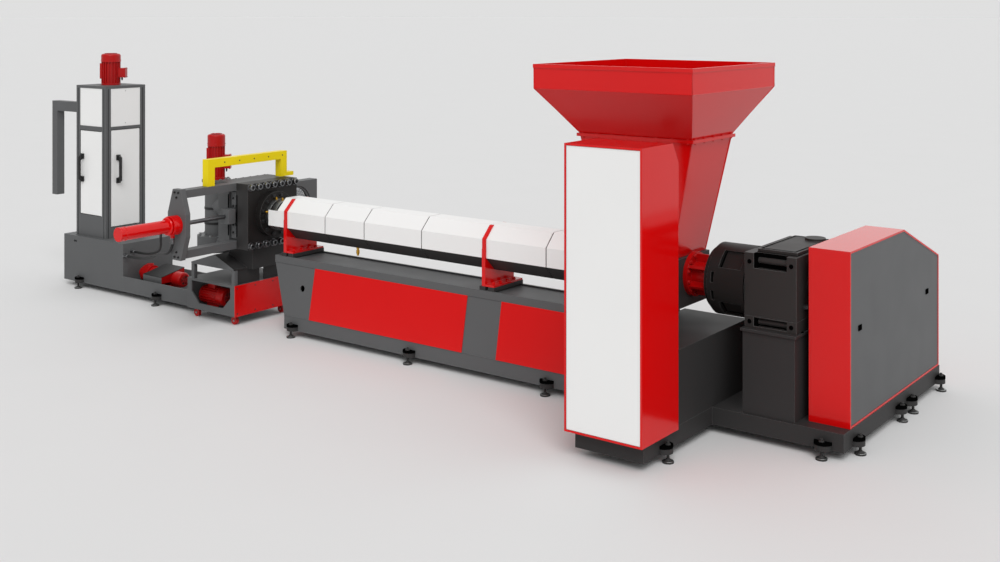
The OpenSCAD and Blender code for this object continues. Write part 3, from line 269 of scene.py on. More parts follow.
def painted_casting():
    # Machine paint over sand-cast iron: the sand's lumps still show through the film
    return paint("paint_on_cast_iron", colours().cast, roughness=0.5, peel_mm=7, peel=0.35,
                 specular=0.25, drift=0.14, edge_highlight=0.6, edge_mm=5.0)


def black_casting():
    # Black heat-proof paint on the castings round the melt: matt and sandy
    return paint("black_paint_on_cast_iron", colours().black, roughness=0.5, peel_mm=7, peel=0.3,
                 specular=0.25, drift=0.14, edge_highlight=0.5, edge_mm=5.0)


def white_enamel():
    # White enamel on thin sheet: even and bright, with a soft mirror of the floor
    return paint("white_stoved_enamel", colours().white, roughness=0.3, peel_mm=14, peel=0.03,
                 specular=0.4, drift=0.02, edge_highlight=0.0)


def yellow_enamel():
    # Safety enamel on square tube: a strong, even yellow with a low gloss
    return paint("yellow_enamel", colours().yellow, roughness=0.36, peel_mm=7, peel=0.08,
                 specular=0.15, edge_highlight=0.3)


def metal(name, code, roughness, line_mm, stretch=(1, 1, 1), scratch=0.12, edge_mm=1.5):
    """Bare metal: tool marks drawn as stretched noise in the roughness and the bump"""
    material, tree = empty_material(name)
    marks = grain(tree, line_mm, 3.0, stretch)
    tint = add_node(tree, "ShaderNodeMix", {
        0: grain(tree, METAL_TONE, 3.0), 6: shaded(code, 0.82), 7: list(code)}, data_type="RGBA")
    polish = add_node(tree, "ShaderNodeMapRange", {
        "Value": marks, "From Min": 0.25, "From Max": 0.75,
        "To Min": roughness * 0.7, "To Max": roughness * 1.35})
    cut = add_node(tree, "ShaderNodeBump", {
        "Height": marks, "Strength": scratch, "Distance": GRAIN_DEPTH,
        "Normal": soft_normal(tree, edge_mm)})
    shader = add_node(tree, "ShaderNodeBsdfPrincipled", {
        "Base Color": tint.outputs[2], "Metallic": 1.0, "Roughness": polish.outputs["Result"],
        "Normal": cut.outputs["Normal"]})
    add_node(tree, "ShaderNodeOutputMaterial", {"Surface": shader.outputs["BSDF"]})
    return material


def ground_steel():
    # Ground and polished steel: grey, with fine lines across the travel of the wheel
    return metal("ground_steel", colours().steel, roughness=0.28, line_mm=4, stretch=(1, 8, 1))


def zinc_plate():
    # Zinc plate on fasteners, foot rims and heater bands: a cool dull silver
    return metal("zinc_plated_steel", colours().zinc, roughness=0.38, line_mm=3)


def oiled_steel():
    # Hardened steel bolt heads, rod and crimps: dark under a film of oil, bright on turned rims
    return metal("oiled_bolt_steel", colours().oiled, roughness=0.36, line_mm=3)


def brass():
    # Turned brass on the heater clamps and unions: a warm yellow with the lathe's fine lines
    return metal("turned_brass", colours().brass, roughness=0.3, line_mm=3, stretch=(1, 1, 6))


def moulding(name, code, roughness, grain_mm, depth):
    """Moulded polymer, or another dull black skin: an even tone with a fine grain"""
    material, tree = empty_material(name)
    tone = add_node(tree, "ShaderNodeMix", {
        0: grain(tree, MOULDING_TONE, 3.0), 6: shaded(code, 0.8), 7: list(code)}, data_type="RGBA")
    skin = add_node(tree, "ShaderNodeBump", {
        "Height": grain(tree, grain_mm, 2.0), "Strength": depth, "Distance": GRAIN_DEPTH})
    shader = add_node(tree, "ShaderNodeBsdfPrincipled", {
        "Base Color": tone.outputs[2], "Roughness": roughness, "Normal": skin.outputs["Normal"], "IOR": 1.5})
    add_node(tree, "ShaderNodeOutputMaterial", {"Surface": shader.outputs["BSDF"]})
    return material


def black_nylon():
    # Glass-filled nylon handles: a dull black with the mould's fine grain
    return moulding("black_nylon", colours().plastic, roughness=0.42, grain_mm=2, depth=0.2)


def black_rubber():
    # Extruded rubber hose covers and seals: matt, slightly chalky
    return moulding("black_rubber", colours().rubber, roughness=0.62, grain_mm=3, depth=0.25)


def black_oxide_and_hole_shade():
    # Black-oxide steel on screws and bolts: near black, with a soft sheen. The same near-black is painted
    # shade in holes, socket bottoms and fan openings
    return moulding("black_oxide_and_hole_shade", colours().oxide, roughness=0.5, grain_mm=2, depth=0.1)


def lacquer_and_painted_shade():
    # Matt black lacquer on the latches and the gearbox bolts. The same near-black is painted shade on the
    # foot caps, on rims, recesses and gaps, and in grooves: it takes the light and shows no gloss
    return paint("black_lacquer_and_painted_shade", colours().lacquer, roughness=0.9, peel_mm=6, peel=0.02,
                 specular=0.0, edge_highlight=0.0)


FINISHES = {}


def finish(make):
    """Make each finish once and share it"""
    if make not in FINISHES:
        FINISHES[make] = make()
    return FINISHES[make]


NODE_FINISHES = {
    red_enamel: ["column_shell", "belt_guard", "hopper_funnel", "hopper_cone", "barrel_supports",
                 "bed_panels", "slide_cylinder", "trolley_panel"],
    motor_red: ["drive_spool", "main_motor", "cutter_motor", "trolley_motor", "trolley_castors",
                "circulation_pump", "dryer_motor"],
    grey_powder: ["guard_panel", "bed_base", "bed_front_side", "bed_rear_side", "bed_end_plate",
                  "outlet_block", "guide_beams", "end_plate", "screen_slide", "die_adaptor",
                  "cutting_chamber", "trolley_box", "water_tank", "pump_tray", "dryer_posts",
                  "dryer_rails", "dryer_roof", "duct_arm", "duct_spout"],
    # The darker grey on drive_base and feed_stand is painted shade
    dark_powder_and_shade: ["drive_base", "feed_stand", "gearbox_pedestal", "feed_throat", "barrel_undercovers",
                  "bed_bars", "trolley_frame", "trolley_hood", "levelling_feet"],
    painted_casting: ["gearbox_case"],
    black_casting: ["thrust_drum", "inlet_block", "barrel"],
    white_enamel: ["column_front", "barrel_covers", "dryer_panels", "front_door", "side_door"],
    yellow_enamel: ["lifting_bracket"],
    ground_steel: ["breaker_plates", "dryer_screen"],
    oiled_steel: ["slide_rod"],
    black_nylon: ["front_handle", "side_handle"],
    black_rubber: ["pressure_hose", "return_hose"],
}


# Shapes

# Heights that differ by less than this are the same
SAME = 0.5 * MM

# Faces that meet at more than this angle keep a sharp edge between them
SHARP_ANGLE = math.radians(32)

# Signs of the four corners of a rectangle
CORNERS = ((-1, -1), (-1, 1), (1, -1), (1, 1))


def turned(bm, profile, at, axis=UP, sides=32, closed=False):
    """Revolve a profile of (radius, height) pairs about an axis; closed joins its ends into a ring"""
    turn = UP.rotation_difference(Vector(axis)).to_matrix()
    rings = []
    for radius, height in profile:
        count = sides if radius > 1e-6 else 1
        angles = [math.tau * i / sides for i in range(count)]
        rings.append([bm.verts.new(Vector(at) + turn @ Vector(
            (radius * math.cos(a), radius * math.sin(a), height))) for a in angles])
    pairs = list(zip(rings, rings[1:]))
    if closed:
        pairs.append((rings[-1], rings[0]))
    for lower, upper in pairs:
        for i in range(sides):
            j = (i + 1) % sides
            face = [lower[i % len(lower)], lower[j % len(lower)],
                    upper[j % len(upper)], upper[i % len(upper)]]
            bm.faces.new(list(dict.fromkeys(face)))
    if not closed:
        for ring in (rings[0], rings[-1]):
            if len(ring) > 1:
                bm.faces.new(ring)


def bar(bm, low, high, edge=0.0):
    """Box between two corners, with rounded edges where edge is given"""
    made = bmesh.ops.create_cube(bm, size=1)["verts"]
    middle = (Vector(low) + Vector(high)) / 2
    span = Vector(high) - Vector(low)
    for vert in made:
        vert.co = vert.co * span + middle
    if edge:
        edges = list({e for v in made for e in v.link_edges})
        bmesh.ops.bevel(bm, geom=edges, offset=edge, segments=2, affect="EDGES", profile=0.6)


def slab(bm, corners, thickness):
    """Flat plate on a ring of corners, thick along its own normal"""
    corners = [Vector(c) for c in corners]
    rise = (corners[1] - corners[0]).cross(corners[2] - corners[1]).normalized() * thickness
    lower = [bm.verts.new(c) for c in corners]
    upper = [bm.verts.new(c + rise) for c in corners]
    bm.faces.new(lower)
    bm.faces.new(upper)
    for i in range(len(corners)):
        j = (i + 1) % len(corners)
        bm.faces.new([lower[i], lower[j], upper[j], upper[i]])


def swept(bm, points, radius, sides=10):
    """Round bar along a line of points, closed at both ends"""
    points = [Vector(p) for p in points]
    rings = []
    for i, point in enumerate(points):
        along = (points[min(i + 1, len(points) - 1)] - points[max(i - 1, 0)]).normalized()
        side = along.cross(UP if abs(along.z) < 0.9 else RIGHT).normalized()
        other = along.cross(side)
        rings.append([bm.verts.new(point + radius * (
            side * math.cos(math.tau * k / sides) + other * math.sin(math.tau * k / sides)))
            for k in range(sides)])
    for lower, upper in zip(rings, rings[1:]):
        for k in range(sides):
            m = (k + 1) % sides
            bm.faces.new([lower[k], lower[m], upper[m], upper[k]])
    bm.faces.new(rings[0])
    bm.faces.new(rings[-1])


def half_ring(bm, centre, way, inner, outer, low, high, steps=16):
    """Half of a flat ring or pipe on a wall, bulging out along way"""
    centre, way = Vector(centre), Vector(way)
    across = UP.cross(way)
    rows = []
    for i in range(steps + 1):
        angle = math.pi * (i / steps - 0.5)
        out = way * math.cos(angle) + across * math.sin(angle)
        rows.append([bm.verts.new(centre + out * r + UP * z)
                     for r, z in ((inner, low), (outer, low), (outer, high), (inner, high))])
    for first, second in zip(rows, rows[1:]):
        for i in range(4):
            j = (i + 1) % 4
            bm.faces.new([first[i], first[j], second[j], second[i]])
    bm.faces.new(rows[0])
    bm.faces.new(rows[-1])


def upright_frame(bm, low, high, along, half, edge=0.0):
    """Four bars centred on the rim of a flat upright box that runs along axis number along"""
    for axis in (along, 2):
        for corner in (low, high):
            start, end = low.copy(), high.copy()
            start[axis] = corner[axis] - half
            end[axis] = corner[axis] + half
            bar(bm, start, end, edge)


def piece(name, bm, make, body=ROOT):
    """Turn a built mesh into a named piece with its finish, on the body that carries it"""
    bmesh.ops.recalc_face_normals(bm, faces=bm.faces)
    mesh = bpy.data.meshes.new(name)
    bm.to_mesh(mesh)
    bm.free()
    mesh.materials.append(finish(make))
    mesh.shade_smooth()
    mesh.set_sharp_from_angle(angle=SHARP_ANGLE)
    made = bpy.data.objects.new(name, mesh)
    bpy.context.scene.collection.objects.link(made)
    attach(made, body)
    return made


def solids(node):
    """Lowest corner, highest corner and points of each separate solid in a CAD node"""
    mesh = NODES[node].data
    owner = {}

    def root(key):
        while owner[key] != key:
            owner[key] = owner[owner[key]]
            key = owner[key]
        return key

    keys = [tuple(round(c, 5) for c in v.co) for v in mesh.vertices]
    for key in keys:
        owner.setdefault(key, key)
    for face in mesh.polygons:
        first = root(keys[face.vertices[0]])
        for index in face.vertices[1:]:
            owner[root(keys[index])] = first
    groups = {}
    for key in owner:
        groups.setdefault(root(key), []).append(Vector(key))
    boxes = []
    for points in groups.values():
        low = Vector([min(p[i] for p in points) for i in range(3)])
        high = Vector([max(p[i] for p in points) for i in range(3)])
        boxes.append((low, high, points))
    return sorted(boxes, key=lambda box: tuple(box[0]))


# Fasteners


def socket_bolt(bm, at, axis, d):
    """Cap screw with a smooth head, a broken rim and a deep socket, on its washer"""
    r = d / 2
    turned(bm, [(1.22 * r, 0), (1.22 * r, 0.14 * r), (1.16 * r, 0.2 * r), (r, 0.2 * r), (r, 1.1 * r),
                (0.9 * r, 1.24 * r), (0.58 * r, 1.24 * r), (0.56 * r, 0.5 * r), (0, 0.42 * r)], at, axis, 24)


def hex_bolt(bm, at, axis, d):
    """Hexagon bolt with a chamfered head on a round washer; d is over its corners"""
    r = d / 2
    turned(bm, [(1.15 * r, 0), (1.15 * r, 0.16 * r), (1.1 * r, 0.22 * r), (0.4 * r, 0.22 * r)], at, axis, 24)
    turned(bm, [(r, 0.22 * r), (r, 0.85 * r), (0.86 * r, 0.98 * r), (0, r)], at, axis, 6)


def socket_floor(bm, at, axis, d):
    """Painted shade: dark bottom of a cap screw's hexagon socket"""
    turned(bm, [(0.3 * d, 0.3 * d), (0.3 * d, 0.45 * d), (0, 0.44 * d)], at, axis, 6)


def button_screw(bm, at, axis, d):
    """Low domed screw with a socket"""
    r = d / 2
    turned(bm, [(r, 0), (0.97 * r, 0.22 * r), (0.8 * r, 0.42 * r), (0.42 * r, 0.52 * r), (0.4 * r, 0.2 * r),
                (0, 0.16 * r)], at, axis, 16)


def ring_of(count, centre, axis, radius, start=0.0):
    """Points evenly round a circle"""
    turn = UP.rotation_difference(Vector(axis)).to_matrix()
    for i in range(count):
        angle = start + math.tau * i / count
        yield Vector(centre) + turn @ Vector((radius * math.cos(angle), radius * math.sin(angle), 0))


def bolt_circle(bm, bolt, count, centre, axis, radius, d, start=0.0):
    """Bolts of one kind evenly round a circle, standing along its axis"""
    for spot in ring_of(count, centre, axis, radius, start):
        bolt(bm, spot, axis, d)


def spread(low, high, count):
    """Evenly spaced values from low to high"""
    step = (high - low) / (count - 1)
    return [low + i * step for i in range(count)]


# Camera and stage


class GRANULATOR_OT_camera(bpy.types.Operator):
    """Place the camera level at the photograph's viewing angle, with its frame shifted down"""

    bl_idname = "granulator.camera"
    bl_label = "Camera"

    def execute(self, context):
        data = bpy.data.cameras.new("studio_camera")
        data.sensor_width = 36
        data.lens = 44.02
        data.shift_y = -0.26745
        data.clip_end = 2000
        camera = bpy.data.objects.new("studio_camera", data)
        camera.location = on_line(3069, -8200.5, 3000)
        camera.rotation_euler = (math.radians(90), 0, math.radians(36.93))
        context.scene.collection.objects.link(camera)
        context.scene.camera = camera
        return {"FINISHED"}


class GRANULATOR_OT_stage(bpy.types.Operator):
    """Lay the pale floor and set the soft studio light"""

    bl_idname = "granulator.stage"
    bl_label = "Studio"

    def floor_finish(self):
        # Smooth sealed concrete, pale and matt, that keeps the shadows
        material, tree = empty_material("sealed_pale_floor")
        pale = list(colours().floor)
        tone = add_node(tree, "ShaderNodeMix", {
            0: grain(tree, FLOOR_TONE, 1.0), 6: shaded(pale, 0.985), 7: pale}, data_type="RGBA")
        shader = add_node(tree, "ShaderNodeBsdfPrincipled", {
            "Base Color": tone.outputs[2], "Roughness": 0.7, "Specular IOR Level": 0.1, "IOR": 1.4})
        add_node(tree, "ShaderNodeOutputMaterial", {"Surface": shader.outputs["BSDF"]})
        return material

    def floor(self, context):
        bm = bmesh.new()
        bmesh.ops.create_grid(bm, x_segments=1, y_segments=1, size=900)
        mesh = bpy.data.meshes.new("studio_floor")
        bm.to_mesh(mesh)
        bm.free()
        mesh.materials.append(self.floor_finish())
        made = bpy.data.objects.new("studio_floor", mesh)
        context.scene.collection.objects.link(made)

    def lamp(self, context, light):
        data = bpy.data.lights.new("broad_lamp", "SUN")
        data.energy = light.lamp
        data.angle = light.spread
        made = bpy.data.objects.new("broad_lamp", data)
        made.rotation_euler = Vector((-0.44, 0.54, -0.71)).to_track_quat("-Z", "Y").to_euler()
        context.scene.collection.objects.link(made)

    def sky(self, context, light):
        # Soft light all round. The camera sees an even, pale backdrop, and gloss mirrors a pale room
        # that is darker on the operator's side
        world = bpy.data.worlds.new("soft_sky")
        world.use_nodes = True
        tree = world.node_tree
        tree.nodes.clear()
        path = add_node(tree, "ShaderNodeLightPath")
        way = add_node(tree, "ShaderNodeSeparateXYZ", {"Vector": add_node(
            tree, "ShaderNodeTexCoord").outputs["Generated"]})
        room = add_node(tree, "ShaderNodeMapRange", {
            "Value": way.outputs["Y"], "From Min": -0.5, "From Max": 0.4,
            "To Min": light.front_room, "To Max": 1.0}, interpolation_type="SMOOTHSTEP")
        bounce = add_node(tree, "ShaderNodeMath", {
            0: path.outputs["Is Glossy Ray"], 1: path.outputs["Is Transmission Ray"]}, operation="MAXIMUM")
        mirrored = add_node(tree, "ShaderNodeMix", {
            0: bounce.outputs["Value"], 2: light.sky, 3: room.outputs["Result"]}, data_type="FLOAT")
        strength = add_node(tree, "ShaderNodeMix", {
            0: path.outputs["Is Camera Ray"], 2: mirrored.outputs[0], 3: light.backdrop}, data_type="FLOAT")
        sky = add_node(tree, "ShaderNodeBackground", {
            "Color": (1, 1, 1, 1), "Strength": strength.outputs[0]})
        add_node(tree, "ShaderNodeOutputWorld", {"Surface": sky.outputs["Background"]})
        context.scene.world = world

    def execute(self, context):
        light = context.scene.studio_light
        self.floor(context)
        self.lamp(context, light)
        self.sky(context, light)
        context.scene.view_settings.view_transform = "Standard"
        return {"FINISHED"}


# Hoses: the listed routes, in millimetres on the line

PRESSURE_ROUTE = [
    (-6082, -1030, 937), (-6082, -1030, 905), (-6091, -1029, 868), (-6117, -1024, 828),
    (-6158, -1014, 796), (-6213, -999, 775), (-6281, -967, 760), (-6368, -917, 742),
    (-6484, -852, 716), (-6620, -778, 684), (-6776, -690, 643), (-6950, -594, 595),
    (-7132, -495, 547), (-7315, -402, 505), (-7480, -330, 473), (-7625, -279, 450),
    (-7741, -250, 438), (-7828, -240, 436), (-7888, -240, 436),
]
RETURN_ROUTE = [
    (-6235.5, -957.5, 963), (-6270.5, -957.5, 963), (-6316, -952, 957), (-6365, -934, 941),
    (-6413, -906, 916), (-6469, -866, 880), (-6546, -808, 832), (-6642, -733, 780),
    (-6757, -645, 727), (-6892, -548, 675), (-7037, -452, 625), (-7190, -360, 577),
    (-7344, -280, 535), (-7488, -222, 503), (-7624, -180, 482), (-7741, -158, 472),
    (-7828, -150, 470), (-7888, -150, 470),
]


class GRANULATOR_OT_hoses(bpy.types.Operator):
    """Lay the two hydraulic hoses between the cylinder and the tank, with crimped ends"""

    bl_idname = "granulator.hoses"
    bl_label = "Hoses"

    def hose(self, context, name, node, route, ends):
        d = sizes().hose_d
        curve = bpy.data.curves.new(name, "CURVE")
        curve.dimensions = "3D"
        curve.bevel_depth = d / 2
        curve.bevel_resolution = 5
        curve.resolution_u = 10
        spline = curve.splines.new("BEZIER")
        spline.bezier_points.add(len(route) - 1)
        for point, place in zip(spline.bezier_points, route):
            point.co = on_line(*place)
            point.handle_left_type = "AUTO"
            point.handle_right_type = "AUTO"
        curve.materials.append(finish(black_rubber))
        made = bpy.data.objects.new(name, curve)
        context.scene.collection.objects.link(made)
        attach(made, ROOT)
        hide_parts(node)
        on_line(*route[0])

    def crimps(self, name, route):
        r = sizes().hose_d / 2
        bm = bmesh.new()
        for end, inner in ((route[0], route[1]), (route[-1], route[-2])):
            start = on_line(*end)
            along = (on_line(*inner) - start).normalized()
            turned(bm, [(1.75 * r, -0.004), (1.75 * r, 0.012), (1.6 * r, 0.014), (1.3 * r, 0.014)],
                   start, along, 6)
            turned(bm, [(1.05 * r, 0.014), (1.3 * r, 0.016), (1.3 * r, 0.024), (1.22 * r, 0.026),
                        (1.3 * r, 0.028), (1.3 * r, 0.036), (1.22 * r, 0.038), (1.3 * r, 0.04),
                        (1.3 * r, 0.05), (1.02 * r, 0.054)], start, along, 24)
        return piece(name, bm, oiled_steel)

    def execute(self, context):
        for name, node, route in (("pressure_line", "pressure_hose", PRESSURE_ROUTE),
                                  ("return_line", "return_hose", RETURN_ROUTE)):
            self.hose(context, name, node, route, self.crimps(name + "_crimps", route))
        return {"FINISHED"}


# Pieces


class GRANULATOR_OT_finishes(bpy.types.Operator):
    """Give every solid of the frame its finish"""

    bl_idname = "granulator.finishes"
    bl_label = "Finishes"

    def execute(self, context):
        for make, names in NODE_FINISHES.items():
            for name in names:
                mesh = NODES[name].data
                mesh.materials.clear()
                mesh.materials.append(finish(make))
        return {"FINISHED"}


class GRANULATOR_OT_feet(bpy.types.Operator):
    """Fit nuts, cups, zinc rims, caps of painted shade and skirts to the levelling feet"""

    bl_idname = "granulator.feet"
    bl_label = "Levelling feet"

    def out_of_wall(self, points, stud, lug):
        """Way that a foot's lug reaches out; its root is wider than the stud is away from the wall"""
        root = [p for p in points if abs(p.z - lug) < SAME]
        corner = max(root, key=lambda p: (p - stud).xy.length) - stud
        way = RIGHT if abs(corner.x) < abs(corner.y) else BACK
        return -way if corner.dot(way) > 0 else way

    def execute(self, context):
        nut = sizes().nut_d / 2
        stud_rise = 0.024
        lug_thick = 0.018
        wall_gap = 0.03
        cap_r = 0.0625
        cap_hole = 0.002
        skirt_r = 0.061
        skirt_wall = 0.005
        skirt_foot = 0.062
        over = 0.001
        nuts = bmesh.new()
        cups = bmesh.new()
        rims = bmesh.new()
        caps = bmesh.new()
        skirts = bmesh.new()
        for _, high, points in solids("levelling_feet"):
            crown = [p for p in points if p.z > high.z - SAME]
            stud = sum(crown, Vector()) / len(crown)
            top = high.z - stud_rise
            bottom = top - lug_thick
            way = self.out_of_wall(points, stud, top)
            foot = Vector((stud.x, stud.y, 0))
            wall = foot - way * wall_gap
            # Painted shade: a matt black cap over each lug
            half_ring(caps, wall, way, cap_hole, cap_r, bottom - over, top + over)
            half_ring(skirts, wall, way, skirt_r - skirt_wall, skirt_r, skirt_foot, bottom - over)
            turned(nuts, [(nut, 0.001), (nut, 0.008), (0.85 * nut, 0.010), (0.5 * nut, 0.010)],
                   foot + UP * top, sides=6)
            turned(nuts, [(0.5 * nut, -0.014), (0.86 * nut, -0.014), (nut, -0.011), (nut, -0.001),
                          (0.5 * nut, -0.001)], foot + UP * bottom, sides=6)
            turned(cups, [(0.027, 0.0125), (0.026, 0.0155), (0.020, 0.018), (0.016, 0.026),
                          (0.011, 0.027)], foot)
            turned(rims, [(0.026, 0.010), (0.0398, 0.001), (0.0398, 0.0105), (0.036, 0.0142),
                          (0.026, 0.0142)], foot, closed=True)
        piece("foot_nuts", nuts, dark_powder_and_shade)
        piece("foot_cups", cups, dark_powder_and_shade)
        piece("foot_rims", rims, zinc_plate)
        piece("foot_shade_caps", caps, lacquer_and_painted_shade)
        piece("foot_skirts", skirts, dark_powder_and_shade)
        return {"FINISHED"}


# Way that the terminal boxes of the upright motors face
MOTOR_WAY = Vector((math.cos(math.radians(40)), math.sin(math.radians(40)), 0))


def fan_grille(red, black, top, axis, d):
    """Painted shade of the air opening in a fan cowl: a dark disc, with rings and spokes over it"""
    r = d / 2
    rise = 0.002
    ring_top = 0.006
    wire = 0.012 * d
    turned(black, [(0.62 * r, 0), (0.62 * r, rise), (0, rise)], top, axis, 40)
    for step in range(4):
        ring = (0.14 + 0.15 * step) * r
        turned(red, [(ring, rise), (ring + wire, rise), (ring + wire, ring_top), (ring, ring_top)],
               top, axis, 40, closed=True)
    middle = top + axis * (rise + ring_top) / 2
    for inner, outer in zip(ring_of(6, middle, axis, 0.1 * r), ring_of(6, middle, axis, 0.66 * r)):
        swept(red, [inner, outer], 0.0035, 6)


def terminal_box(red, black, foot, axis, d, h, way):
    """Lid, screws and cable gland of a motor's terminal box"""
    across = axis.cross(way)
    lid = 0.014
    middle = foot + axis * 0.39 * h + way * 0.755 * d
    wide = across * 0.225 * d
    tall = axis * 0.16 * h
    slab(red, [middle - wide - tall, middle + wide - tall, middle + wide + tall, middle - wide + tall], lid)
    for i, j in CORNERS:
        at = middle + across * 0.185 * d * i + axis * 0.13 * h * j + way * lid
        button_screw(black, at, way, 0.05 * d)
    turned(black, [(0.05 * d, 0), (0.05 * d, 0.02), (0.038 * d, 0.022), (0.038 * d, 0.034), (0, 0.034)],
           middle - axis * 0.15 * h - way * 0.16 * d, -axis, 8)


def motor_trim(name, foot, axis, d, h, box_way=None):
    """Fan grille, cowl band, cowl screws and terminal box of a finned motor standing on a point"""
    foot = Vector(foot)
    r = d / 2
    red = bmesh.new()
    black = bmesh.new()
    turned(red, [(0.99 * r, 0.735 * h), (1.035 * r, 0.735 * h), (1.045 * r, 0.745 * h),
                 (1.035 * r, 0.755 * h), (0.99 * r, 0.755 * h)], foot, axis, 40, closed=True)
    cowl = foot + axis * 0.79 * h
    for spot in ring_of(4, cowl, axis, 1.02 * r, math.pi / 4):
        button_screw(red, spot, spot - cowl, 0.07 * d)
    fan_grille(red, black, foot + axis * h, axis, d)
    if box_way is not None:
        terminal_box(red, black, foot, axis, d, h, box_way)
    piece(name + "_trim", red, motor_red)
    piece(name + "_grille", black, black_oxide_and_hole_shade)


class GRANULATOR_OT_drive(bpy.types.Operator):
    """Bolt up the gearbox, drum, spool, motor, guard and column"""

    bl_idname = "granulator.drive"
    bl_label = "Drive unit"

    # Heights of the gearbox case: its roof over the barrel axis, its split line over its foot
    CASE_ROOF = 0.262
    CASE_SPLIT = 0.088

    def case_box(self):
        """Box of the gearbox case between its bearing caps, a ledge inside the pedestal's ends"""
        low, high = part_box("gearbox_case")
        pedestal_low, pedestal_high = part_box("gearbox_pedestal")
        ledge = 0.014
        low.x = pedestal_low.x + ledge
        high.x = pedestal_high.x - ledge
        return low, high

    def case_bolts(self, low, high, shade):
        """Corner bolts on dark rims of painted shade, foot bolts, and the bolts of both bearing caps"""
        d = sizes().case_bolt_d
        small = 0.018
        inset = 0.038
        roof_drop = 0.062
        foot_rise = 0.046
        foot_in = 0.09
        foot_out = 0.006
        cap_out = 0.016
        cap_ring = 0.068
        cap_y = on_line(0, 390, 0).y
        cap_z = AXIS.z + 0.06
        bolts = bmesh.new()
        for x in (low.x + inset, high.x - inset):
            for z in (AXIS.z + self.CASE_ROOF - roof_drop, low.z + foot_rise):
                for y, way in ((low.y, -BACK), (high.y, BACK)):
                    # Painted shade: a dark rim under each corner bolt
                    turned(shade, [(0.62 * d, 0), (0.62 * d, 0.0008), (0, 0.0008)], (x, y, z), way, 24)
                    socket_bolt(bolts, (x, y, z), way, 0.7 * d)
        pedestal_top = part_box("gearbox_pedestal")[1].z
        for y in spread(low.y + foot_in, high.y - foot_in, 5):
            hex_bolt(bolts, (high.x + foot_out, y, pedestal_top), UP, small)
        for x, way in ((low.x - cap_out, -RIGHT), (high.x + cap_out, RIGHT)):
            bolt_circle(bolts, hex_bolt, 6, (x, cap_y, cap_z), way, cap_ring, small)
        piece("gearbox_bolts", bolts, lacquer_and_painted_shade)

    def case_pockets(self, low, high, shade):
        """Painted shade: dark sheets on the floors and left cheeks of the pockets between the case's corner
        posts
        """
        clear = 0.0002
        post = 0.07 + clear
        foot = 0.016 + clear
        flange = 0.01 + clear
        upper = 0.157
        deep = 0.042
        lip = 0.008
        cheek = 0.024
        half = 0.001
        left, right = low.x + post, high.x - post
        for bottom, top in ((low.z + foot, low.z + self.CASE_SPLIT - flange),
                            (AXIS.z + upper, AXIS.z + self.CASE_ROOF - clear)):
            for wall, face in ((low.y + deep, low.y + lip), (high.y - deep, high.y - lip)):
                bar(shade, (left, wall - half, bottom), (right, wall + half, top))
                bar(shade, (left, min(wall, face), bottom), (left + cheek, max(wall, face), top))

    def case_lid(self, low, high, shade):
        """Painted shade: a dark step under the roof's lid, and a dark line round the lid's top"""
        roof = AXIS.z + self.CASE_ROOF
        top = roof + 0.025
        off_centre = 0.046
        right = high.x + off_centre
        step = 0.066
        bar(shade, (low.x + step, low.y + step, roof), (right - step, high.y - step, roof + 0.0025))
        inset = 0.088
        x0, x1 = low.x + inset, right - inset
        y0, y1 = low.y + inset, high.y - inset
        w = 0.006
        for start, end in (((x0, y0), (x1, y0 + w)), ((x0, y1 - w), (x1, y1)),
                           ((x0, y0 + w), (x0 + w, y1 - w)), ((x1 - w, y0 + w), (x1, y1 - w))):
            bar(shade, (*start, top - 0.001), (*end, top + 0.0008))

    def gearbox(self):
        """Bolts, painted shade in the recesses, gasket and oil plug of the gearbox"""
        low, high = self.case_box()
        shade = bmesh.new()
        self.case_bolts(low, high, shade)
        self.case_pockets(low, high, shade)
        self.case_lid(low, high, shade)
        piece("gearbox_shade", shade, lacquer_and_painted_shade)
        split = low.z + self.CASE_SPLIT
        inset = 0.002
        half = 0.0015
        gasket = bmesh.new()
        bar(gasket, (low.x + inset, low.y + inset, split - half),
            (high.x - inset, high.y - inset, split + half), 0.0005)
        piece("gearbox_gasket", gasket, black_rubber)
        plugs = bmesh.new()
        turned(plugs, [(0.02, 0), (0.02, 0.012), (0.016, 0.015), (0.016, 0.03), (0, 0.032)],
               (high.x, low.y + 0.14, AXIS.z - 0.1), RIGHT, 6)
        piece("oil_plugs", plugs, oiled_steel)

    def spool(self):
        """Bolts on the inner faces of the spool's two flanges"""
        low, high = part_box("drive_spool")
        middle = (low + high) / 2
        flange = 0.034
        ring = 0.143
        bolts = bmesh.new()
        for x, way in ((low.x + flange, RIGHT), (high.x - flange, -RIGHT)):
            bolt_circle(bolts, hex_bolt, 12, (x, middle.y, middle.z), way, ring, 0.026, math.pi / 12)
        piece("spool_bolts", bolts, motor_red)

    def drum(self):
        """Two rings of bolts on the drum, and painted shade: a dark ring in the gap behind its rim, and dark
        patches in its openings
        """
        low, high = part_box("thrust_drum")
        rim = Vector((low.x + 0.04, AXIS.y, AXIS.z))
        rim_ring = 0.243
        face = Vector((low.x, AXIS.y, AXIS.z))
        face_ring = 0.2
        bolts = bmesh.new()
        bolt_circle(bolts, socket_bolt, 12, rim, -RIGHT, rim_ring, 0.02, math.pi / 12)
        bolt_circle(bolts, hex_bolt, 10, face, -RIGHT, face_ring, 0.026)
        piece("drum_bolts", bolts, black_oxide_and_hole_shade)
        shade = bmesh.new()
        turned(shade, [(0.255, -0.008), (0.2628, -0.008), (0.2628, -0.0005), (0.255, -0.0005)],
               (high.x, AXIS.y, AXIS.z), RIGHT, 64, closed=True)
        self.drum_openings(low.x + 0.07, high.x - 0.21, shade)
        piece("drum_shade", shade, lacquer_and_painted_shade)

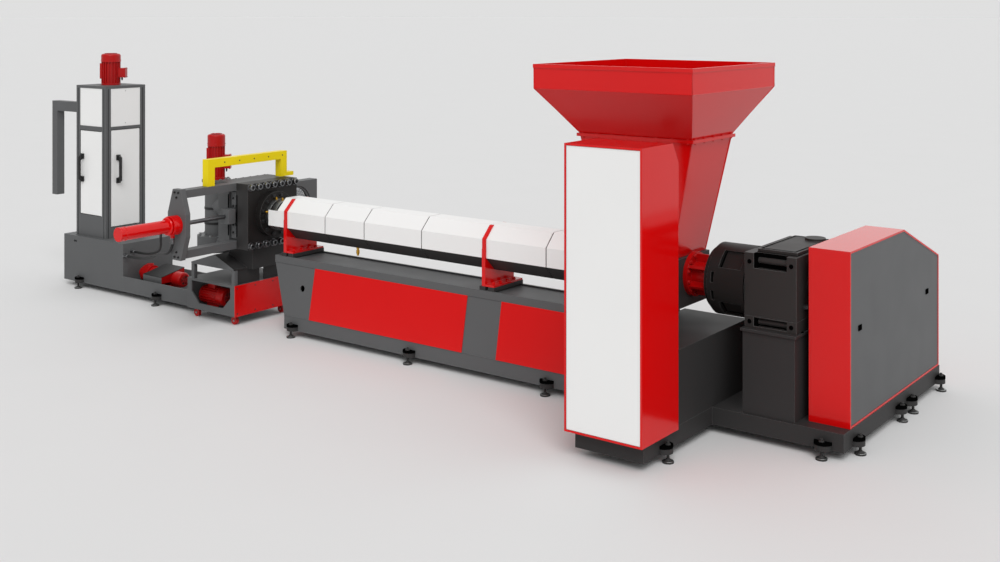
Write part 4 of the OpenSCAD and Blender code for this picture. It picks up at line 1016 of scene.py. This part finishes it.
    def drum_openings(self, slot, window, shade):
        """Painted shade: dark edges on the floors of the drum's windows, and dark floors in its slots"""
        slot_wide, slot_half = 0.022, 0.038
        window_wide, window_half = 0.17, 0.075
        edge = 0.014
        floor_r = 0.2322
        patches = [(turn, slot, slot + slot_wide, -slot_half, slot_half) for turn in (78, 108, 258, 288)]
        for turn in (-45, 45, 135, 225):
            patches.append((turn, window, window + edge, -window_half, window_half))
            patches.append((turn, window, window + window_wide, -window_half, edge - window_half))
        for turn, left, right, start, end in patches:
            angle = math.radians(turn)
            out = Vector((0, -math.sin(angle), math.cos(angle)))
            along = Vector((0, math.cos(angle), math.sin(angle)))
            floor = Vector((0, AXIS.y, AXIS.z)) + out * floor_r
            slab(shade, [floor + RIGHT * x + along * y for x, y in (
                (left, start), (right, start), (right, end), (left, end))], 0.001)

    def guard(self):
        """Two quarter-turn latches on the guard's end panel"""
        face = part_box("guard_panel")[1].x
        w = sizes().latch_w / 2
        h = 0.64 * w
        thick = 0.006
        latches = bmesh.new()
        for y, z in ((13, 839), (1444, 829)):
            at = on_line(0, y, z)
            at.x = face
            bar(latches, at - Vector((0, w, h)), at + Vector((thick, w, h)), 0.002)
            turned(latches, [(0.5 * w, thick), (0.46 * w, 0.009), (0.2 * w, 0.009), (0.18 * w, 0.007),
                             (0, 0.007)], at, RIGHT, 24)
        piece("guard_latches", latches, lacquer_and_painted_shade)

    def column(self):
        """Seal round the column's white front"""
        low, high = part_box("column_shell")
        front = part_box("column_front")[0].y
        rim = Vector((0.014, 0, 0.014))
        half = 0.0015
        low.y, high.y = front - 0.001, front + 0.001
        seam = bmesh.new()
        upright_frame(seam, low + rim, high - rim, 0, half)
        piece("column_seal", seam, black_rubber)

    def execute(self, context):
        self.gearbox()
        self.spool()
        self.drum()
        self.guard()
        self.column()
        axis_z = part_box("main_motor")[0].z + 0.295
        foot = (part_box("belt_guard")[0].x, on_line(0, 1150, 0).y, axis_z)
        motor_trim("main_motor", foot, -RIGHT, d=0.47, h=0.86)
        return {"FINISHED"}


class GRANULATOR_OT_hopper(bpy.types.Operator):
    """Weld the hopper's corners and bolt its flanges"""

    bl_idname = "granulator.hopper"
    bl_label = "Hopper"

    def execute(self, context):
        low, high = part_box("hopper_funnel")
        cone_low, cone_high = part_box("hopper_cone")
        middle = (low + high) / 2
        band_z = high.z - 0.183
        flange_z = cone_high.z
        flange = 0.012
        lip = 0.03
        foot = 0.002
        bolt_d = 0.019
        rim = (0.669, 0.669)
        neck = (0.4775, 0.314)
        throat = (0.288, 0.26)
        r = sizes().weld_r

        def at(x, y, z):
            return Vector((middle.x + x, middle.y + y, z))

        welds = bmesh.new()
        for i, j in CORNERS:
            seam = [at(i * half_x, j * half_y, z) for (half_x, half_y), z in (
                (rim, high.z - lip), (rim, band_z), (neck, flange_z + flange),
                (neck, flange_z - flange), (throat, cone_low.z + foot))]
            swept(welds, seam[:3], r, 8)
            swept(welds, seam[3:], r, 8)
        half = rim[0]
        for side in (-half, half):
            swept(welds, [at(-half, side, band_z), at(half, side, band_z)], r, 8)
            swept(welds, [at(side, -half, band_z), at(side, half, band_z)], r, 8)
        piece("hopper_welds", welds, red_enamel)
        bolt_out = 0.012
        edge_x, edge_y = neck[0] + bolt_out, neck[1] + bolt_out
        end = 0.04
        spots = [(x, j * edge_y) for j in (-1, 1) for x in spread(-edge_x + end, edge_x - end, 8)]
        spots += [(i * edge_x, y) for i in (-1, 1) for y in spread(-edge_y + end, edge_y - end, 5)]
        bolts = bmesh.new()
        for x, y in spots:
            hex_bolt(bolts, at(x, y, flange_z + flange), UP, bolt_d)
            hex_bolt(bolts, at(x, y, flange_z - flange), -UP, bolt_d)
        piece("hopper_bolts", bolts, red_enamel)
        return {"FINISHED"}


class GRANULATOR_OT_barrel(bpy.types.Operator):
    """Wrap the heater bands on the open end of the barrel and fit the brass unions"""

    bl_idname = "granulator.barrel"
    bl_label = "Barrel"

    def execute(self, context):
        r = 0.145
        half = 0.03
        bands = bmesh.new()
        clamps = bmesh.new()
        for x in (-5785, -5700, -5620, -5550):
            at = on_line(x, 0, 0)
            at.z = AXIS.z
            turned(bands, [(r - 0.001, -half), (r + 0.003, -half), (r + 0.004, 0.003 - half),
                           (r + 0.004, half - 0.003), (r + 0.003, half), (r - 0.001, half)],
                   at, RIGHT, 48, closed=True)
            for turn in (-35, 10, 75):
                way = Vector((0, -math.sin(math.radians(turn)), math.cos(math.radians(turn))))
                turned(clamps, [(0.012, 0), (0.012, 0.01), (0.009, 0.012), (0.009, 0.02), (0.005, 0.023),
                                (0, 0.023)], at + way * (r + 0.003), way, 12)
        piece("heater_bands", bands, zinc_plate)
        flange = Vector((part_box("inlet_block")[1].x + 0.062, AXIS.y, AXIS.z))
        flange_ring = 0.188
        bolts = bmesh.new()
        bolt_circle(bolts, hex_bolt, 12, flange, RIGHT, flange_ring, 0.036, math.pi / 12)
        piece("barrel_flange_bolts", bolts, black_oxide_and_hole_shade)
        union = on_line(-4690, -40, 0)
        union.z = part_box("barrel_undercovers")[0].z
        turned(clamps, [(0.016, 0), (0.016, 0.014), (0.011, 0.016), (0.011, 0.03), (0.016, 0.032),
                        (0.016, 0.06), (0.011, 0.064), (0.011, 0.08), (0, 0.08)], union, -UP, 12)
        piece("brass_unions", clamps, brass)
        return {"FINISHED"}


class GRANULATOR_OT_bed(bpy.types.Operator):
    """Bolt down the barrel supports and the bars, strap the covers and weld the base"""

    bl_idname = "granulator.bed"
    bl_label = "Bed"

    def execute(self, context):
        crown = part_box("barrel_covers")[1].z
        strap_half = 0.0765
        strap_wide = 0.036
        strap_thick = 0.0018
        over = 0.0008
        foot_thick = 0.016
        foot_end = 0.06
        foot_edge = 0.045
        bolts = bmesh.new()
        straps = bmesh.new()
        for low, high, _ in solids("barrel_supports"):
            for y in spread(low.y + foot_end, high.y - foot_end, 4):
                hex_bolt(bolts, (high.x - foot_edge, y, low.z + foot_thick), UP, 0.03)
            bar(straps, (low.x - over, AXIS.y - strap_half, crown - strap_thick),
                (low.x + strap_wide + over, AXIS.y + strap_half, crown))
        piece("support_bolts", bolts, red_enamel)
        piece("cover_straps", straps, white_enamel)
        bolts = bmesh.new()
        bar_end = 0.02
        for low, high, _ in solids("bed_bars"):
            for y in (low.y + bar_end, high.y - bar_end):
                hex_bolt(bolts, ((low.x + high.x) / 2, y, high.z), UP, 0.022)
        piece("bar_bolts", bolts, black_oxide_and_hole_shade)
        low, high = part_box("bed_base")
        welds = bmesh.new()
        for y in (low.y, high.y):
            swept(welds, [(low.x, y, high.z), (high.x, y, high.z)], 0.003, 8)
        piece("bed_welds", welds, grey_powder)
        return {"FINISHED"}


class GRANULATOR_OT_changer(bpy.types.Operator):
    """Bolt the screen changer, trim its slide and cylinder and perforate its breaker plates"""

    bl_idname = "granulator.changer"
    bl_label = "Screen changer"

    def block_bolts(self):
        """Two rows of large cap screws on the outer face of each block"""
        d = sizes().block_bolt_d
        reach = sizes().block_bolt_pitch * (sizes().block_bolts - 1) / 2
        rim = 0.56 * d
        bolts = bmesh.new()
        floors = bmesh.new()
        for node, face, way in (("inlet_block", 1, RIGHT), ("outlet_block", 0, -RIGHT)):
            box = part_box(node)
            for z in (box[0].z + rim, box[1].z - rim):
                for y in spread(AXIS.y - reach, AXIS.y + reach, sizes().block_bolts):
                    socket_bolt(bolts, (box[face].x, y, z), way, d)
                    socket_floor(floors, (box[face].x, y, z), way, d)
        piece("block_bolts", bolts, oiled_steel)
        piece("block_bolt_sockets", floors, black_oxide_and_hole_shade)

    def small_screws(self):
        """Screws of the end plate, the lifting bracket and the inlet block's front face, and a dark-grey
        sheet that makes that face lighter than the block's black sides
        """
        d = sizes().screw_d
        screws = bmesh.new()
        low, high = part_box("end_plate")
        middle = (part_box("guide_beams")[0].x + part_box("guide_beams")[1].x) / 2
        for end, way in ((high.z, -1), (low.z, 1)):
            for x, drop in ((-0.026, 0.03), (0.026, 0.03), (0, 0.075)):
                socket_bolt(screws, (middle + x, low.y, end + way * drop), -BACK, 1.3 * d)
        low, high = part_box("lifting_bracket")
        half_tube = 0.04
        for y in spread(low.y + 0.2, high.y - 0.15, 5):
            button_screw(screws, (high.x, y, high.z - half_tube), RIGHT, d)
        low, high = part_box("inlet_block")
        end = 0.05
        edge = 0.025
        for z in spread(low.z + end, high.z - end, 6):
            button_screw(screws, (high.x - edge, low.y, z), -BACK, d)
        piece("changer_screws", screws, black_oxide_and_hole_shade)
        # Dark-grey sheet over the inlet block's front face, lighter than its black casting
        plate_thick = 0.002
        plate_back = 0.004
        plate = bmesh.new()
        bar(plate, (low.x, low.y - plate_thick, low.z), (high.x - plate_back, low.y, high.z), 0.0008)
        piece("inlet_plate", plate, dark_powder_and_shade)

    def slide(self):
        """Wear strips on the slide's front edge, and the coupling that holds its rod"""
        low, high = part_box("screen_slide")
        middle = (low.x + high.x) / 2
        strip = Vector((0.024, 0, 0.057))
        strip_thick = Vector((0, 0.004, 0))
        strips = bmesh.new()
        screws = bmesh.new()
        for drop in (-0.128, 0.128):
            at = Vector((middle, low.y, AXIS.z + drop))
            bar(strips, at - strip - strip_thick, at + strip, 0.0015)
            for rise in (-0.036, 0.036):
                socket_bolt(screws, at + Vector((0, -0.003, rise)), -BACK, 0.018)
        piece("slide_strips", strips, grey_powder, "slide_plate")
        piece("slide_screws", screws, black_oxide_and_hole_shade, "slide_plate")
        block_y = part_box("inlet_block")[0].y
        hub_half = Vector((0.0565, 0, 0.0715))
        hub_long = BACK * 0.0905
        hub_back = Vector((middle, block_y - 0.013, AXIS.z))
        hub = bmesh.new()
        bar(hub, hub_back - hub_half - hub_long, hub_back + hub_half, 0.006)
        piece("rod_coupling", hub, grey_powder, "slide_plate")

    def slide_gap_shade(self):
        """Painted shade: dark lines beside the slide, on the front faces of both blocks, where the gaps are
        """
        wide = 0.014
        half = 0.2
        grooves = bmesh.new()
        for node, edge, way in (("inlet_block", 0, 1), ("outlet_block", 1, -1)):
            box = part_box(node)
            left, right = sorted((box[edge].x, box[edge].x + way * wide))
            bar(grooves, (left, box[0].y - 0.0028, AXIS.z - half), (right, box[0].y - 0.0002, AXIS.z + half))
        piece("slide_gap_shade", grooves, lacquer_and_painted_shade)

    def breaker_holes(self):
        """Staggered rows of holes on both faces of the two breaker plates, drawn as shallow dark dimples in
        painted shade
        """
        low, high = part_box("breaker_plates")
        d = sizes().screen_hole_d
        pitch = sizes().screen_pitch
        row_pitch = pitch * math.sin(math.pi / 3)
        limit = 0.166
        stroke = 0.469
        rows = int(limit / row_pitch) + 1
        holes = bmesh.new()
        for y in (AXIS.y, AXIS.y + stroke):
            for row in range(-rows, rows + 1):
                for step in range(-rows - 1, rows + 2):
                    across = (step + 0.5 * (row % 2)) * pitch
                    rise = row * row_pitch
                    if math.hypot(across, rise) > limit:
                        continue
                    for x, way in ((low.x, -RIGHT), (high.x, RIGHT)):
                        turned(holes, [(d / 2, 0), (0.45 * d, 0.0004), (0, 0.0003)],
                               (x, y + across, AXIS.z + rise), way, 10)
        piece("breaker_holes", holes, black_oxide_and_hole_shade, "slide_plate")

    def cylinder(self):
        """Rings at the cylinder's closed end, and the collar at its flange"""
        low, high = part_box("slide_cylinder")
        middle = (low.x + high.x) / 2
        r = 0.061
        rings = bmesh.new()
        for start, span in ((0.0, 0.028), (0.06, 0.012)):
            turned(rings, [(r, start), (r + 0.003, start + 0.002), (r + 0.003, start + span - 0.002),
                           (r, start + span)], (middle, low.y, AXIS.z), BACK, 48, closed=True)
        turned(rings, [(r, 0), (r + 0.016, 0.004), (r + 0.022, 0.014), (r + 0.016, 0.024), (r, 0.03)],
               (middle, high.y - 0.122, AXIS.z), BACK, 48, closed=True)
        piece("cylinder_rings", rings, red_enamel)

    def execute(self, context):
        self.block_bolts()
        self.small_screws()
        self.slide()
        self.slide_gap_shade()
        self.breaker_holes()
        self.cylinder()
        return {"FINISHED"}


class GRANULATOR_OT_cutter(bpy.types.Operator):
    """Bolt the cutting chamber and trim its motor"""

    bl_idname = "granulator.cutter"
    bl_label = "Cutter"

    def execute(self, context):
        low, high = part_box("cutting_chamber")
        middle = (low + high) / 2
        bolt_d = 0.026
        top = Vector((middle.x, middle.y, high.z))
        top_ring = 0.125
        foot = Vector((middle.x, middle.y, low.z + 0.16))
        foot_ring = 0.17
        bolts = bmesh.new()
        bolt_circle(bolts, hex_bolt, 8, top, UP, top_ring, bolt_d, math.pi / 8)
        bolt_circle(bolts, hex_bolt, 12, foot, UP, foot_ring, bolt_d)
        piece("chamber_bolts", bolts, zinc_plate)
        bands = bmesh.new()
        for z in (AXIS.z - 0.17, AXIS.z - 0.02):
            turned(bands, [(0.114, -0.012), (0.119, -0.01), (0.119, 0.01), (0.114, 0.012)],
                   (middle.x, middle.y, z), UP, 48, closed=True)
        piece("chamber_bands", bands, black_oxide_and_hole_shade)
        motor_foot = (middle.x, middle.y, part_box("cutter_motor")[0].z)
        motor_trim("cutter_motor", motor_foot, UP, d=0.173, h=0.456, box_way=MOTOR_WAY)
        return {"FINISHED"}


class GRANULATOR_OT_trolley(bpy.types.Operator):
    """Shoe the castors, screw on the panel and skin the trolley's end and posts"""

    bl_idname = "granulator.trolley"
    bl_label = "Trolley"

    def castors(self):
        """Tyres, and a nut on each end of every axle"""
        r = 0.038
        half = 0.0155
        tyres = bmesh.new()
        hubs = bmesh.new()
        for low, high, _ in solids("trolley_castors"):
            centre = Vector(((low.x + high.x) / 2, (low.y + high.y) / 2, low.z + r))
            turned(tyres, [(r - 0.008, -half), (r - 0.002, -half), (r, -0.012), (r, 0.012),
                           (r - 0.002, half), (r - 0.008, half)], centre, BACK, 36, closed=True)
            for way in (-BACK, BACK):
                turned(hubs, [(0.012, 0), (0.012, 0.006), (0.009, 0.008), (0, 0.008)],
                       centre + way * 0.015, way, 6)
        piece("castor_tyres", tyres, motor_red)
        piece("castor_nuts", hubs, zinc_plate)

    def panel_screws(self):
        low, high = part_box("trolley_panel")
        edge = 0.03
        screws = bmesh.new()
        for y in spread(low.y + edge, high.y - edge, 4):
            for z in (low.z + edge, high.z - edge):
                button_screw(screws, (high.x, y, z), RIGHT, sizes().screw_d)
        piece("trolley_screws", screws, black_oxide_and_hole_shade)

    def skins(self):
        """Thin sheet on the gable under the hood and round the slender posts"""
        box_low, box_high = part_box("trolley_box")
        y = box_low.y
        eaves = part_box("trolley_frame")[1].z
        left, right = box_low.x + 0.06, box_high.x - 0.012
        ridge = left + 0.55 * (right - left)
        sheet = 0.002
        post_limit = 0.05
        grow = Vector((0.0008, 0.0008, 0))
        skins = bmesh.new()
        slab(skins, [(left, y, eaves), (right, y, eaves), (right, y, eaves + 0.012),
                     (ridge, y, eaves + 0.125), (left, y, eaves + 0.017)], sheet)
        for low, high, _ in solids("trolley_frame"):
            if high.y - low.y < post_limit:
                bar(skins, low - grow, high + grow, 0.002)
        piece("trolley_skins", skins, grey_powder)

    def execute(self, context):
        self.castors()
        self.panel_screws()
        self.skins()
        motor_foot = on_line(0, -190, 202.3)
        motor_foot.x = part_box("trolley_motor")[0].x
        motor_trim("trolley_motor", motor_foot, RIGHT, d=0.18, h=0.34)
        return {"FINISHED"}


class GRANULATOR_OT_dryer(bpy.types.Operator):
    """Fit the dryer's seals, handle grips, drain valve, pump box, screen holes and motors"""

    bl_idname = "granulator.dryer"
    bl_label = "Dryer"

    # Each door's side, the body of its leaf and the axis that it runs along when shut
    DOORS = (("front", "front_door_leaf", 0), ("side", "side_door_leaf", 1))

    def door_seals(self):
        """Rubber frame on the inner face of each door"""
        half = 0.004
        thick = 0.003
        side_in = 0.012
        end_in = 0.022
        for side, body, along in self.DOORS:
            low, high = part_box(side + "_door")
            low.z += end_in
            high.z -= end_in
            low[along] += side_in
            high[along] -= side_in
            if side == "front":
                low.y, high.y = high.y, high.y + thick
            else:
                low.x, high.x = low.x - thick, low.x
            seal = bmesh.new()
            upright_frame(seal, low, high, along, half, 0.001)
            piece(side + "_door_seal", seal, black_rubber, body)

    def handle_grips(self):
        """Rounded skin over each handle's two feet and the bar between their middles"""
        skin = Vector((0.001, 0.001, 0.001))
        foot = 0.0576
        foot_sunk = 0.040
        bar_half = 0.012
        bar_deep = 0.024
        for side, body, along in self.DOORS:
            low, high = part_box(side + "_handle")
            grip = bmesh.new()
            for z in (low.z, high.z - foot):
                foot_low = Vector((low.x, low.y, z))
                foot_high = Vector((high.x, high.y, z + foot))
                if side == "front":
                    foot_low.y += foot_sunk
                else:
                    foot_high.x -= foot_sunk
                bar(grip, foot_low - skin, foot_high + skin, 0.004)
            middle = (low + high) / 2
            low.z += foot / 2
            high.z -= foot / 2
            low[along] = middle[along] - bar_half
            high[along] = middle[along] + bar_half
            if side == "front":
                high.y = low.y + bar_deep
            else:
                low.x = high.x - bar_deep
            bar(grip, low - skin, high + skin, 0.007)
            piece(side + "_handle_grip", grip, black_nylon, body)

    def screen_holes(self):
        """Rows of holes round the dryer's screen, each row half a step on, drawn as shallow dark dimples in
        painted shade
        """
        low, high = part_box("dryer_screen")
        middle = (low + high) / 2
        r = (high.x - low.x) / 2
        count = 40
        end = 0.06
        holes = bmesh.new()
        for row, z in enumerate(spread(low.z + end, high.z - end, 46)):
            for spot in ring_of(count, (middle.x, middle.y, z), UP, r, math.pi / count * (row % 2)):
                way = Vector((spot.x - middle.x, spot.y - middle.y, 0)).normalized()
                turned(holes, [(0.007, 0.0), (0.006, 0.0006), (0, 0.0005)], spot, way, 8)
        piece("dryer_screen_holes", holes, black_oxide_and_hole_shade)

    def post_slot_shade(self):
        """Painted shade in the slots of the extruded posts: dark strips on their outer faces"""
        half = 0.003
        proud = 0.0008
        grooves = bmesh.new()
        for low, high, _ in solids("dryer_posts"):
            x, y = (low.x + high.x) / 2, (low.y + high.y) / 2
            for face in (low.y, high.y):
                bar(grooves, (x - half, face - proud, low.z), (x + half, face + proud, high.z))
            for face in (low.x, high.x):
                bar(grooves, (face - proud, y - half, low.z), (face + proud, y + half, high.z))
        piece("post_slot_shade", grooves, lacquer_and_painted_shade)

    def valve(self):
        """Drain valve on the end of the tank, with its lever"""
        low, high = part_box("water_tank")
        at = Vector((low.x, (low.y + high.y) / 2 - 0.12, 0.47))
        body = bmesh.new()
        turned(body, [(0.022, 0), (0.022, 0.012), (0.016, 0.014), (0.016, 0.03), (0.024, 0.033),
                      (0.026, 0.045), (0.026, 0.062), (0.024, 0.074), (0.016, 0.077), (0.016, 0.098),
                      (0.018, 0.1), (0.018, 0.112), (0.012, 0.112), (0.012, 0.1), (0, 0.1)], at, -RIGHT, 28)
        stem = at - RIGHT * 0.053
        turned(body, [(0.008, 0.02), (0.008, 0.042), (0.011, 0.043), (0.011, 0.049), (0, 0.05)],
               stem, UP, 12)
        piece("drain_valve", body, zinc_plate)
        lever = bmesh.new()
        swept(lever, [stem + Vector((0, -reach, rise)) for reach, rise in (
            (0, 0.046), (0.02, 0.048), (0.05, 0.058), (0.11, 0.06))], 0.007, 10)
        piece("drain_lever", lever, motor_red)

    def pump(self):
        """Pump motor's trim, and the lid and front of the box over it"""
        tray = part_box("pump_tray")[0]
        axis = Vector((tray.x + 0.235, AXIS.y, tray.z + 0.165))
        motor_trim("circulation_pump", axis, RIGHT, d=0.15, h=0.45)
        left, right = axis.x + 0.016, axis.x + 0.318
        front, back = axis.y - 0.192, axis.y + 0.107
        low_z, high_z = axis.z + 0.0385, axis.z + 0.0985
        edge = 0.02
        lid = bmesh.new()
        slab(lid, [(left, front, low_z), (right, front, low_z), (right, back, high_z),
                   (left, back, high_z)], 0.005)
        for x in (left + edge, right - edge):
            for y, z in ((front + edge, low_z + 0.008), (back - edge, high_z)):
                button_screw(lid, (x, y, z), UP, 0.012)
        piece("pump_box_lid", lid, black_oxide_and_hole_shade)
        face = bmesh.new()
        bar(face, (left, front, axis.z - 0.025), (right, front + 0.003, low_z), 0.001)
        piece("pump_box_front", face, grey_powder)

    def panel_screws(self, roof_z):
        low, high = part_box("dryer_panels")
        edge = 0.02
        screws = bmesh.new()
        for y in spread(low.y + edge, high.y - edge, 3):
            for drop in (0.03, 0.38):
                button_screw(screws, (high.x, y, roof_z - drop), RIGHT, sizes().screw_d * 0.8)
        piece("panel_screws", screws, zinc_plate)

    def execute(self, context):
        self.door_seals()
        self.handle_grips()
        self.screen_holes()
        self.post_slot_shade()
        self.valve()
        low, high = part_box("dryer_roof")
        middle = (low + high) / 2
        motor_trim("dryer_motor", (middle.x, middle.y, high.z), UP, d=0.205, h=0.344, box_way=MOTOR_WAY)
        self.pump()
        self.panel_screws(low.z)
        return {"FINISHED"}


STEPS = [
    GRANULATOR_OT_camera, GRANULATOR_OT_hoses, GRANULATOR_OT_finishes, GRANULATOR_OT_feet,
    GRANULATOR_OT_drive, GRANULATOR_OT_hopper, GRANULATOR_OT_barrel, GRANULATOR_OT_bed,
    GRANULATOR_OT_changer, GRANULATOR_OT_cutter, GRANULATOR_OT_trolley, GRANULATOR_OT_dryer,
    GRANULATOR_OT_stage,
]


class GRANULATOR_PT_line(bpy.types.Panel):
    """Sidebar list of the line's pieces and settings"""

    bl_label = "Granulating line"
    bl_space_type = "VIEW_3D"
    bl_region_type = "UI"
    bl_category = "Granulator"

    def draw(self, context):
        for step in STEPS:
            self.layout.operator(step.bl_idname)
        for settings in (context.scene.line_sizes, context.scene.line_colours, context.scene.studio_light):
            for key in settings.__annotations__:
                self.layout.prop(settings, key)


SETTINGS = {"line_sizes": LineSizes, "line_colours": LineColours, "studio_light": StudioLight}
CLASSES = list(SETTINGS.values()) + STEPS + [GRANULATOR_PT_line]


def register():
    for kind in CLASSES:
        bpy.utils.register_class(kind)
    for key, kind in SETTINGS.items():
        setattr(bpy.types.Scene, key, PointerProperty(type=kind))


def unregister():
    for key in SETTINGS:
        delattr(bpy.types.Scene, key)
    for kind in reversed(CLASSES):
        bpy.utils.unregister_class(kind)


def main():
    register()
    for step in STEPS:
        family, name = step.bl_idname.split(".")
        getattr(getattr(bpy.ops, family), name)()


if __name__ == "__main__":
    main()
